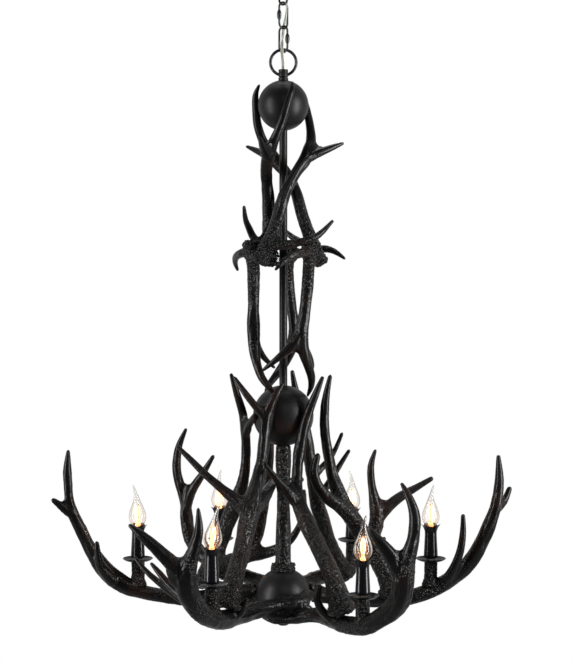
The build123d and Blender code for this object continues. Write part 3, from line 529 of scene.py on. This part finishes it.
# The middle of each antler's foot, in millimetres.
FEET = {
    "upright_antler_front_left": (-106, -205, -1302), "upright_antler_front_right": (109, -195, -1315),
    "upright_antler_left": (-158, 22, -1311), "upright_antler_right": (212, -10, -1317),
    "upright_antler_back_right": (126, 150, -1312), "upright_antler_back_left": (-127, 150, -1304),
    "upper_antler_front": (-45, -54, -664), "upper_antler_right": (69, -12, -664),
    "upper_antler_back": (-24, 66, -664), "hanging_antler_left": (-63, -23, -632),
    "hanging_antler_right": (51, -43, -632), "hanging_antler_back": (12, 66, -632),
    "candle_antler_left": (-40, 4, -1320), "candle_antler_right": (40, 4, -1320),
    "candle_antler_front_left": (10, -70, -1330), "candle_antler_front_right": (-5, -70, -1340),
    "candle_antler_back_left": (-30, 60, -1316), "candle_antler_back_right": (30, 60, -1316),
}
print("antlers to cast", len(FEET), "palms", sum(len(p) for p in PALMS.values()))


# %% Mesh helpers
def fresh_copy(node, name):
    """A merged copy of a CAD node's mesh as a new object, alone in the selection."""
    made = bpy.data.objects.new(name, NODES[node].data.copy())
    bpy.context.scene.collection.objects.link(made)
    only(made)
    bpy.ops.object.mode_set(mode="EDIT")
    bpy.ops.mesh.select_all(action="SELECT")
    bpy.ops.mesh.remove_doubles(threshold=0.00002)
    bpy.ops.object.mode_set(mode="OBJECT")
    return made


def only(*pieces):
    """Select these pieces alone, the first of them active."""
    bpy.ops.object.select_all(action="DESELECT")
    for piece in pieces:
        piece.select_set(True)
    bpy.context.view_layer.objects.active = pieces[0]


def apply(piece, kind, **settings):
    """Add a modifier with these settings and apply it."""
    only(piece)
    added = piece.modifiers.new(kind.lower(), kind)
    for name, value in settings.items():
        setattr(added, name, value)
    bpy.ops.object.modifier_apply(modifier=added.name)


def read_points(mesh):
    """The points and the normals of a mesh as arrays."""
    points = np.empty(len(mesh.vertices) * 3)
    mesh.vertices.foreach_get("co", points)
    normals = np.empty(len(mesh.vertices) * 3)
    mesh.vertex_normals.foreach_get("vector", normals)
    return points.reshape(-1, 3), normals.reshape(-1, 3)


def push(piece, distance):
    """Move every point along its normal."""
    points, normals = read_points(piece.data)
    moved = points + normals * np.reshape(distance, (-1, 1))
    piece.data.vertices.foreach_set("co", moved.ravel())
    piece.data.update()


# %% Palms and webs
def add_palm(piece, middle, half_sizes, turn):
    """Join a flattened ball to an antler."""
    bpy.ops.object.select_all(action="DESELECT")
    bpy.ops.mesh.primitive_uv_sphere_add(segments=24, ring_count=12, radius=MM, location=Vector(middle) * MM)
    palm = bpy.context.active_object
    palm.scale = half_sizes
    palm.rotation_euler = (0, math.radians(turn), 0)
    bpy.ops.object.transform_apply(location=True, rotation=True, scale=True)
    only(piece, palm)
    bpy.ops.object.join()


def web_forks(piece, plain, reach, depth):
    """Join webs to an antler's forks, with hollows about as round as reach, in front of depth if given."""
    web = bpy.data.objects.new(piece.name + "_web", plain.copy())
    bpy.context.scene.collection.objects.link(web)
    if depth is not None:
        only(web)
        bpy.ops.object.mode_set(mode="EDIT")
        bpy.ops.mesh.select_all(action="SELECT")
        bpy.ops.mesh.bisect(plane_co=(0, depth, 0), plane_no=(0, 1, 0), use_fill=True, clear_outer=True)
        bpy.ops.object.mode_set(mode="OBJECT")
    apply(web, "REMESH", mode="VOXEL", voxel_size=COPY_VOXEL)
    apply(web, "SMOOTH", factor=0.5, iterations=2)
    push(web, reach)
    apply(web, "REMESH", mode="VOXEL", voxel_size=WEB_VOXEL)
    apply(web, "SMOOTH", factor=0.5, iterations=4)
    push(web, -reach - WEB_SINK)
    only(piece, web)
    bpy.ops.object.join()


# %% Tools for relief
def write_attribute(mesh, name, values):
    """A number for each point of the mesh, for its material to read."""
    made = mesh.attributes.new(name, "FLOAT", "POINT")
    made.data.foreach_set("value", values.astype(np.float32))


def steps_up(value, low, high):
    """0 below low, 1 above high and a smooth step between them."""
    share = np.clip((value - low) / (high - low), 0, 1)
    return share * share * (3 - 2 * share)


def thickness(piece, points, normals):
    """How thick the branch is under each point, up to a limit."""
    inside = BVHTree.FromObject(piece, bpy.context.evaluated_depsgraph_get())
    found = np.empty(len(points))
    for k, (point, normal) in enumerate(zip(points, normals)):
        hit = inside.ray_cast(Vector(point - normal * JUST_INSIDE), Vector(-normal), MOST_THICKNESS)
        found[k] = hit[3] if hit[0] is not None else MOST_THICKNESS
    return found


def around(away, reach):
    """1 where the distance is nothing, falling off softly over about the reach."""
    return np.exp(-((away / reach) ** 2))


# %% Finish of a piece
def finish_piece(piece, node, body, material):
    """Smooth shading, the finish, and what the piece stands for."""
    piece.data.materials.clear()
    piece.data.materials.append(material)
    piece.data.polygons.foreach_set("use_smooth", [True] * len(piece.data.polygons))
    piece.data.update()
    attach(piece, body)
    if node is not None:
        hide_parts(node)


# %% One antler
def cast_antler(node, seed):
    """The antler that is seen in place of a CAD node, with its webs, grooves and pearls."""
    piece = fresh_copy(node, node + "_cast")
    for palm in PALMS.get(node, ()):
        add_palm(piece, *palm)
    plain = piece.data.copy()
    for reach, depth in WEBS.get(node, USUAL_WEB):
        web_forks(piece, plain, reach, depth)
    apply(piece, "REMESH", mode="VOXEL", voxel_size=VOXEL, adaptivity=0.0)
    apply(piece, "SMOOTH", factor=0.5, iterations=7)
    points, normals = read_points(piece.data)
    trail = Run(points, normals).trail(points)
    thick = thickness(piece, points, normals)
    away = np.linalg.norm(points - np.array(FEET[node]) * MM, axis=1)
    # How much of each kind of relief there is at each point, from 0 to 1.
    is_root = node.startswith("candle")
    is_upright = node.startswith("upright")
    near = around(away, BARK_REACH) * (not is_root)
    specks = around(away, SPECK_REACH) * is_upright
    knobs = around(away, KNOB_REACH) * (not is_root)
    ropes = around(away, ROPE_REACH) * is_root
    body = steps_up(thick, *GROOVED)
    patches = steps_up(smooth_noise(points, 0.05, seed + 20), -0.15, 0.45)
    bark = np.clip(near + 0.7 * (1 - ropes) * patches * steps_up(thick, *PEARLED), 0, 1)
    # The relief itself, in millimetres.
    ridge = streaks(trail, RIDGE_SIZE, seed + 30)
    broad = streaks(trail, BROAD_SIZE, seed)
    narrow = streaks(trail, NARROW_SIZE, seed + 50)
    channel = np.exp(-((broad / 0.30) ** 2))
    relief = 0.5 * np.tanh(broad) + 0.3 * np.tanh(narrow) - 0.8 * channel
    swell = 0.9 * smooth_noise(points, 0.034, seed + 7) + 0.4 * smooth_noise(points, 0.016, seed + 9)
    pearls = np.clip(1 - (grains(points, PEARL_SIZE, seed)[0] / 0.7) ** 2, 0, 1)
    nearest, second = grains(points, BEAN_SIZE, seed + 3)
    beans = steps_up(second - nearest, 0.0, 0.45)
    grooves = (0.7 + 1.0 * ropes) * relief + (0.9 + 0.8 * is_upright + 2.8 * ropes) * np.tanh(ridge)
    grain = bark * 0.95 * (pearls - 0.3) + knobs * 2.2 * (beans - 0.45)
    push(piece, (body * (grooves + swell) + grain) * MM)
    # The groove number sets the resin's colour: painted shade in the grooves, worn paint and painted
    # highlight on the ridges and pearls.
    write_attribute(piece.data, "groove", np.clip(0.5 + 0.25 * relief + 0.25 * bark * (pearls - 0.4), 0, 1))
    write_attribute(piece.data, "bark", np.maximum(bark, 0.85 * specks))
    finish_piece(piece, node, "fixture", RESIN)
    return piece


# %% Cast all eighteen antlers
antlers = []
for seed, node in enumerate(sorted(FEET)):
    antlers.append(cast_antler(node, seed * 11 + 5))
faces = [len(a.data.polygons) for a in antlers]
print("antlers", len(antlers), "faces", min(faces), "to", max(faces), "in all", sum(faces))

# %% [markdown]
# ## Bark on the axis
# The column between the two lower spheres is cast from an antler beam as well: a net of fine ridges above,
# long ridges below, and a knobbly burr at its foot. The cups under the candles have the same bark.


# %% Column, burr and cups
COLUMN_RADIUS = 0.014
COLUMN_BORE = 0.010
NET_BEGINS, NET_IS_FULL = -1.165, -1.115
COLUMN_RING, RING_REACH = -1.113, 0.008


def bark_piece(node, voxel, relief, seed):
    """A remeshed copy of a CAD node, moved out by relief(points, seed), with how much bark it shows."""
    piece = fresh_copy(node, node + "_bark")
    apply(piece, "REMESH", mode="VOXEL", voxel_size=voxel, adaptivity=0.0)
    apply(piece, "SMOOTH", factor=0.5, iterations=3)
    height, bark = relief(read_points(piece.data)[0], seed)
    push(piece, height * MM)
    # The groove number sets the colour: painted shade in the hollows, worn paint and painted highlight on the
    # raised bark.
    write_attribute(piece.data, "groove", np.clip(0.5 + 0.3 * height, 0, 1))
    write_attribute(piece.data, "bark", bark)
    finish_piece(piece, node, "fixture", RESIN)


def column_relief(points, seed):
    """Long ridges below, a net of fine ridges above, and a ring where the two meet."""
    angle = np.arctan2(points[:, 1], points[:, 0])
    wrapped = np.stack([np.cos(angle) * COLUMN_RADIUS, np.sin(angle) * COLUMN_RADIUS, points[:, 2] * 0.12], 1)
    ridges = smooth_noise(wrapped, 0.0034, seed) + 0.5 * smooth_noise(wrapped, 0.0018, seed + 1)
    nearest, second = grains(points * np.array([1, 1, 0.7]), 0.0055, seed)
    net = -np.exp(-(((second - nearest) / 0.22) ** 2)) + 0.5
    above = steps_up(points[:, 2], NET_BEGINS, NET_IS_FULL)
    ring = around(points[:, 2] - COLUMN_RING, RING_REACH)
    height = (1 - above) * ridges + above * 0.7 * net + ring * (1.2 + 0.8 * ridges)
    outside = np.linalg.norm(points[:, :2], axis=1) > COLUMN_BORE
    return np.where(outside, height, 0), np.where(outside, 0.35 + 0.35 * above, 0.0)


def burr_relief(points, seed):
    """Knobs as large as beans."""
    nearest, second = grains(points, 0.0085, seed)
    return 2.6 * (steps_up(second - nearest, 0, 0.45) - 0.5), np.ones(len(points))


def cup_relief(points, seed):
    """A net of furrows over soft lumps."""
    nearest, second = grains(points * np.array([1, 1, 0.8]), 0.0048, seed)
    net = -np.exp(-(((second - nearest) / 0.25) ** 2)) + 0.45
    lumps = smooth_noise(points, 0.012, seed + 2)
    return 0.7 * net + 0.7 * lumps, np.full(len(points), 0.8)


bark_piece("bark_column", 0.0016, column_relief, 400)
bark_piece("column_burr", 0.0013, burr_relief, 410)
bark_piece("candle_cups", 0.0016, cup_relief, 420)
print("bark pieces made")

# %% [markdown]
# ## Turned pieces
# Glass, sleeves and cups are all round about their own axis. Each starts as a circle that is extruded ring
# by ring, with each new ring moved and scaled, as one would draw it by hand. It is made once at the origin
# and then copied to the six candles.

# %% Rings and copies
# Each candle's direction from the axis in degrees, its distance and its height in millimetres.
CANDLES = {
    "left": (180, 288, -1255), "front_left": (243, 287, -1258), "front_right": (300, 290, -1279),
    "right": (0, 292, -1255), "back_right": (60, 293, -1258), "back_left": (118, 290, -1256),
}
# How far a lamp's seat is above its drip pan, in millimetres.
SEAT = 66


def candle_place(name):
    """The middle of a candle's drip pan, in metres."""
    azimuth, distance, height = CANDLES[name]
    turn = math.radians(azimuth)
    return Vector((distance * math.cos(turn), distance * math.sin(turn), height)) * MM


def turned(name, rings, sides, close=True, fill="NOTHING"):
    """A shape through rings of (height, radius) or (height, radius, shift along X), in millimetres.

    It closes to a point at its end if asked, and its first ring is filled if fill says how.
    """
    rings = [(r + (0,))[:3] for r in rings]
    height, radius, shift = (v * MM for v in rings[0])
    bpy.ops.object.select_all(action="DESELECT")
    bpy.ops.mesh.primitive_circle_add(
        vertices=sides, radius=radius, fill_type=fill, location=(shift, 0, height))
    piece = bpy.context.active_object
    piece.name = name
    bpy.ops.object.transform_apply(location=True, rotation=True, scale=True)
    bpy.ops.object.mode_set(mode="EDIT")
    bpy.ops.mesh.select_all(action="SELECT")
    for step in rings[1:]:
        new_height, new_radius, new_shift = (v * MM for v in step)
        bpy.ops.mesh.extrude_edges_move(
            TRANSFORM_OT_translate={"value": (new_shift - shift, 0, new_height - height)})
        scale = new_radius / radius
        bpy.ops.transform.resize(value=(scale, scale, 1), center_override=(new_shift, 0, new_height))
        height, radius, shift = new_height, new_radius, new_shift
    if close:
        bpy.ops.mesh.merge(type="CENTER")
    bpy.ops.mesh.select_all(action="SELECT")
    bpy.ops.mesh.remove_doubles(threshold=0.00001)
    bpy.ops.mesh.normals_make_consistent(inside=False)
    bpy.ops.object.mode_set(mode="OBJECT")
    return piece


def copy_to(piece, name, matrix):
    """A copy with its own mesh, carried to its place in the mesh itself."""
    made = bpy.data.objects.new(name, piece.data.copy())
    bpy.context.scene.collection.objects.link(made)
    made.data.transform(matrix)
    return made


# %% [markdown]
# ## Candle sleeves
# A sleeve is a short black tube with a full, rounded foot. It grows slimmer up to its neck and opens there
# into a cup with a wavy edge like a flower. The waves grow towards the rim, so they are made by moving the
# points of the rim out and up with the angle.

# %% Sleeves with ruffled cups
WAVES = 6
NECK, RIM = 0.0565, 0.0672
WAVE_OUT, WAVE_UP = 0.10, 0.0019
outer = [
    (2.0, 10.6), (2.5, 12.3), (4.4, 13.6), (8, 13.9), (14, 13.6), (24, 13.0), (36, 12.4), (46, 11.9),
    (52, 11.8), (55, 12.0), (58, 12.7), (61, 13.8), (63.8, 15.1), (65.8, 16.5), (67, 17.6), (67.6, 17.6),
]
inner = [(66.6, 16.3), (64.4, 14.3), (61.5, 12.7), (58, 11.6), (54, 11.2), (30, 11.2), (4, 11.2), (2.0, 10.6)]
sleeve = turned("sleeve", outer + inner, sides=72, close=False)
points = read_points(sleeve.data)[0]
grown = steps_up(points[:, 2], NECK, RIM)
wave = np.cos(np.arctan2(points[:, 1], points[:, 0]) * WAVES)
points[:, :2] *= (1 + grown * WAVE_OUT * wave)[:, None]
points[:, 2] += grown * WAVE_UP * wave
sleeve.data.vertices.foreach_set("co", points.ravel())
apply(sleeve, "SUBSURF", levels=1, render_levels=1)
for name in CANDLES:
    made = copy_to(sleeve, f"sleeve_{name}", Matrix.Translation(candle_place(name)))
    finish_piece(made, "candle_sleeves", "fixture", SLEEVE)
bpy.data.objects.remove(sleeve)
print("sleeves", len(CANDLES))

# %% [markdown]
# ## Lamps
# The lamps are clear candle bulbs drawn out into a bent wisp at the top. The glass is a thin shell, so it
# shows mostly as darker edges, and near its base it has a faint painted glow for the filaments' light. Inside
# stand upright filaments that glow warm white, on a small glass foot with a painted orange glow for the
# light.


# %% Glass and filament finishes
def clear_glass():
    """Glass that swallows a little light on the way, so it is darker where one looks along the wall, with a
    painted warm glow near its base.
    """
    made, tree, shader = new_material("clear_glass", (1, 1, 1), 0.01)
    shader.inputs["IOR"].default_value = 1.3
    shader.inputs["Transmission Weight"].default_value = 1.0
    swallow = tree.nodes.new("ShaderNodeVolumeAbsorption")
    swallow.inputs["Color"].default_value = (0.60, 0.55, 0.49, 1)
    swallow.inputs["Density"].default_value = 430.0
    tree.links.new(swallow.outputs[0], tree.nodes["Material Output"].inputs["Volume"])
    # Painted glow: the glass near its base shines warm, standing in for the filaments' light caught in it.
    painted_glow_share = attribute(tree, "painted_glow_share")
    glow = ramp(tree, painted_glow_share, 0.2, 0.9, (1, 0.80, 0.58, 1), (1, 0.45, 0.18, 1))
    tree.links.new(glow, shader.inputs["Emission Color"])
    tree.links.new(between(tree, painted_glow_share, 0.0, 0.05), shader.inputs["Emission Strength"])
    tree.links.new(bump(tree, noise(tree, 120, 1), 0.00005), shader.inputs["Normal"])
    return made


def glowing(name, colour, strength):
    """A surface that shines, in some places a little more than in others."""
    made, tree, shader = new_material(name, colour, 0.5)
    shader.inputs["Emission Color"].default_value = (*colour, 1)
    level = between(tree, noise(tree, 60, 1), strength * 0.6, strength * 1.4)
    tree.links.new(level, shader.inputs["Emission Strength"])
    return made


GLASS = clear_glass()
FILAMENT = glowing("filament", (1.0, 0.84, 0.62), 2.2)
# The foot's shine is a painted glow, standing in for the filaments' light caught in its glass.
PAINTED_FOOT_GLOW = glowing("painted_foot_glow", (1.0, 0.46, 0.20), 0.55)
print("lamp finishes", GLASS.name, FILAMENT.name, PAINTED_FOOT_GLOW.name)

# %% Glass, foot and filaments
GLASS_WALL = 0.0007
STRANDS = 8
flame = [
    (-1, 8.6), (1, 10.6), (4, 13.2), (8, 15.5), (12, 16.9), (16, 17.5), (20, 17.4), (25, 16.6), (30, 15.1),
    (35, 13.1), (40, 11.0), (45, 9.0), (50, 7.1), (55, 5.5, 0.3), (60, 4.3, 0.9), (65, 3.4, 1.8),
    (70, 2.7, 3.0), (75, 2.1, 4.5), (79, 1.6, 5.9), (81.5, 1.1, 6.8),
]
glass = turned("glass", flame, sides=36)
apply(glass, "SOLIDIFY", thickness=GLASS_WALL, offset=-1.0)
apply(glass, "SUBSURF", levels=1, render_levels=1)
# The painted glow is strongest at the base of the glass and gone five centimetres up.
write_attribute(glass.data, "painted_glow_share", np.clip(1 - read_points(glass.data)[0][:, 2] / 0.05, 0, 1))

foot_rings = [(-1.0, 5.6), (2, 5.0), (5, 3.4), (9, 2.3), (13, 1.9), (15, 1.0)]
foot = turned("foot", foot_rings, sides=20, fill="NGON")
rod_rings = [(8, 0.2), (12, 0.3), (20, 0.32), (30, 0.32), (38, 0.3), (41, 0.2)]
rods = []
for k in range(STRANDS):
    turn = math.radians(360 / STRANDS * k + 15)
    inner_end, middle, top = (2.0, 5.2, 3.4) if k % 2 else (1.5, 3.2, 2.2)
    strand = [(8, inner_end), (12, inner_end + 1.2), (20, middle), (30, middle), (38, top), (41, 1.0)]
    rod = turned(f"rod_{k}", rod_rings, sides=6, fill="NGON")
    points = read_points(rod.data)[0]
    reach = np.interp(points[:, 2] / MM, [s[0] for s in strand], [s[1] for s in strand]) * MM
    points[:, 0] += reach * math.cos(turn)
    points[:, 1] += reach * math.sin(turn)
    rod.data.vertices.foreach_set("co", points.ravel())
    rods.append(rod)
only(*rods)
bpy.ops.object.join()
print("one lamp", len(glass.data.vertices), "points of glass and", STRANDS, "filaments")

# %% [markdown]
# ### Six lamps
# In the photograph no two lamps are alike: each stands a little askew in its holder, and its wisp points its
# own way. So each copy of the glass is turned about its own axis and then tilted. A small warm light among
# the filaments lets the glass and the pan below catch some of the glow.

# %% Six lamps
# Where each wisp points, and how each lamp stands a little askew: (towards, by), all in degrees.
LEANS = {"left": 165, "front_left": 15, "front_right": 40, "right": 20, "back_right": 160, "back_left": 30}
TILTS = {
    "left": (180, 2.5), "front_left": (0, 6), "front_right": (0, 1), "right": (0, 0), "back_right": (0, 1),
    "back_left": (180, 2),
}
GLOW_COLOUR, GLOW_WATTS, GLOW_SIZE, GLOW_ABOVE_SEAT = (1.0, 0.42, 0.18), 0.5, 0.015, 24
for name in CANDLES:
    seat = Matrix.Translation(candle_place(name) + Vector((0, 0, SEAT * MM)))
    toward, degrees = TILTS[name]
    axis = Vector((-math.sin(math.radians(toward)), math.cos(math.radians(toward)), 0))
    tilted = seat @ Matrix.Rotation(math.radians(degrees), 4, axis)
    bulb = copy_to(glass, f"flame_glass_{name}", tilted @ Matrix.Rotation(math.radians(LEANS[name]), 4, "Z"))
    bulb.visible_shadow = False
    finish_piece(bulb, f"bulb_glass_{name}", f"bulb_{name}", GLASS)
    # The glass foot takes the painted orange glow.
    finish_piece(copy_to(foot, f"bulb_foot_{name}", tilted), None, f"bulb_{name}", PAINTED_FOOT_GLOW)
    lit = copy_to(rods[0], f"filaments_{name}", tilted)
    finish_piece(lit, None, f"bulb_{name}", FILAMENT)
    warm = bpy.data.lights.new(f"glow_{name}", "POINT")
    warm.energy = GLOW_WATTS
    warm.color = GLOW_COLOUR
    warm.shadow_soft_size = GLOW_SIZE
    glow = bpy.data.objects.new(f"glow_{name}", warm)
    bpy.context.scene.collection.objects.link(glow)
    glow.location = candle_place(name) + Vector((0, 0, (SEAT + GLOW_ABOVE_SEAT) * MM))
    glow.parent = lit
    glow.visible_transmission = False
for made in (glass, foot, rods[0]):
    bpy.data.objects.remove(made)
print("lamps", len(CANDLES))

# %% [markdown]
# ## Supply cord
# The cord is a clear flat twin cable: two wires side by side in soft plastic. It winds down through the
# chain and goes into the collar. It is swept in seven stretches, cut at the heights of the chain's joints,
# and the first of them hangs on the ceiling.

# %% Cord route
CORD = [
    (17, 0, -10.5), (7.5, 0, -10.5), (0, 0, -18), (0, 0, -38), (-9.2, 0, -60.7), (0, -9.2, -112.2),
    (9.2, 0, -159.5), (-0.64, 9.18, -207.3), (-3.6, -8.47, -249.2), (0, 0, -274), (0, 0, -320),
]
curve = bpy.data.curves.new("cord_line", "CURVE")
curve.dimensions = "3D"
spline = curve.splines.new("NURBS")
spline.points.add(len(CORD) - 1)
for point, place_mm in zip(spline.points, CORD):
    point.co = (*(v * MM for v in place_mm), 1)
spline.order_u = 3
spline.use_endpoint_u = True
spline.resolution_u = 24
line = bpy.data.objects.new("cord_line", curve)
bpy.context.scene.collection.objects.link(line)
depsgraph = bpy.context.evaluated_depsgraph_get()
path_mesh = bpy.data.meshes.new_from_object(line.evaluated_get(depsgraph))
path = np.array([v.co[:] for v in path_mesh.vertices])
length = np.linalg.norm(np.diff(path, axis=0), axis=1).sum()
print("cord line", len(path), "points, length", round(length, 4))


# %% [markdown]
# ### Flat twin section
# Two round wires side by side make the outline of the section, drawn in a little at the waist between them.
# Copper shines dark through the clear plastic where a wire lies, so each point of the outline remembers
# whether it is over a wire, and the material reads that.

# %% Flat twin section
# The section's measures in millimetres, and how deep, as a share, and how wide its waist is.
HALF_WIDTH, HALF_THICKNESS = 3.1, 1.6
CORE_AT, CORE_RADIUS = 1.5, 0.75
WAIST_DEPTH, WAIST_REACH = 0.28, 0.8


def cord_material():
    """Clear soft plastic, darker where a copper core lies under it."""
    made, tree, shader = new_material("clear_vinyl", (0.63, 0.66, 0.58), 0.25)
    colour = mix_colour(tree, attribute(tree, "core"), (0.60, 0.63, 0.55, 1), (0.10, 0.095, 0.075, 1))
    tree.links.new(colour, shader.inputs["Base Color"])
    tree.links.new(bump(tree, noise(tree, 400, 2), 0.0001), shader.inputs["Normal"])
    return made


def section(count=20):
    """The outline of two round cores side by side, as (across, out) in metres, and how near a core is."""
    outline = []
    for k in range(count):
        turn = 2 * math.pi * k / count
        across = HALF_WIDTH * math.cos(turn)
        waist = 1 - WAIST_DEPTH * math.exp(-((across / WAIST_REACH) ** 2))
        is_core = abs(abs(across) - CORE_AT) < CORE_RADIUS
        outline.append((across * MM, HALF_THICKNESS * math.sin(turn) * waist * MM, is_core))
    return outline


VINYL = cord_material()
outline = section()
print("section of", len(outline), "points")

# %% [markdown]
# ### Which way the flat side faces
# A section that is swept along a line could turn about it in any way. Here the flat side faces away from the
# chain's axis, or towards the viewer where the cord runs on the axis, and the direction is softened along
# the line, so the cord never twists sharply.

# %% Which way the flat side faces
TOWARDS_VIEWER = np.array([0, -0.0012, 0])
SOFTENING_PASSES = 12
tangents = np.gradient(path, axis=0)
tangents /= np.linalg.norm(tangents, axis=1, keepdims=True)
outward = path * np.array([1, 1, 0]) + TOWARDS_VIEWER
for _ in range(SOFTENING_PASSES):
    outward[1:-1] = (outward[:-2] + outward[1:-1] + outward[2:]) / 3
across = np.cross(tangents, outward)
across /= np.linalg.norm(across, axis=1, keepdims=True)
up = np.cross(across, tangents)
print("the flat side faces", up[0].round(2), "at the top and", up[-1].round(2), "at the foot")


# %% One stretch of the cord
def cord_stretch(name, top, bottom):
    """The part of the swept cord between two heights, closed at both ends."""
    kept = [k for k in range(len(path)) if bottom <= path[k][2] <= top]
    verts, faces, core = [], [], []
    for k in kept:
        for a, b, near in outline:
            verts.append(path[k] + across[k] * a + up[k] * b)
            core.append(1.0 if near else 0.0)
    n = len(outline)
    for row in range(len(kept) - 1):
        for k in range(n):
            faces.append((row * n + k, row * n + (k + 1) % n, (row + 1) * n + (k + 1) % n, (row + 1) * n + k))
    faces.append(tuple(range(n)))
    faces.append(tuple(range(len(verts) - n, len(verts)))[::-1])
    mesh = bpy.data.meshes.new(name)
    mesh.from_pydata([tuple(v) for v in verts], [], faces)
    made = bpy.data.objects.new(name, mesh)
    bpy.context.scene.collection.objects.link(made)
    write_attribute(mesh, "core", np.array(core))
    only(made)
    bpy.ops.object.mode_set(mode="EDIT")
    bpy.ops.mesh.select_all(action="SELECT")
    bpy.ops.mesh.normals_make_consistent(inside=False)
    bpy.ops.object.mode_set(mode="OBJECT")
    mesh.materials.append(VINYL)
    mesh.polygons.foreach_set("use_smooth", [len(p.vertices) == 4 for p in mesh.polygons])
    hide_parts("supply_cord")
    return made


# %% Seven stretches
# The stretches' ends, at the heights of the joints, and the bodies of the chain, one for each stretch.
heights = path[:, 2]
cuts = [0.0, -0.050, -0.086, -0.134, -0.181, -0.228, -0.265, -0.330]
cuts = [cuts[0]] + [float(heights[np.abs(heights - c).argmin()]) for c in cuts[1:-1]] + [cuts[-1]]
chain = ["ceiling", "link_1", "link_2", "link_3", "link_4", "ring", "fixture"]
reach = 0.011
for k in range(len(chain)):
    made = cord_stretch(f"cord_{k + 1}", cuts[k], cuts[k + 1])
    if k == 0:
        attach(made, "ceiling")
    else:
        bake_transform(made)
bpy.data.objects.remove(line)
print("cord stretches", len(cuts) - 1)
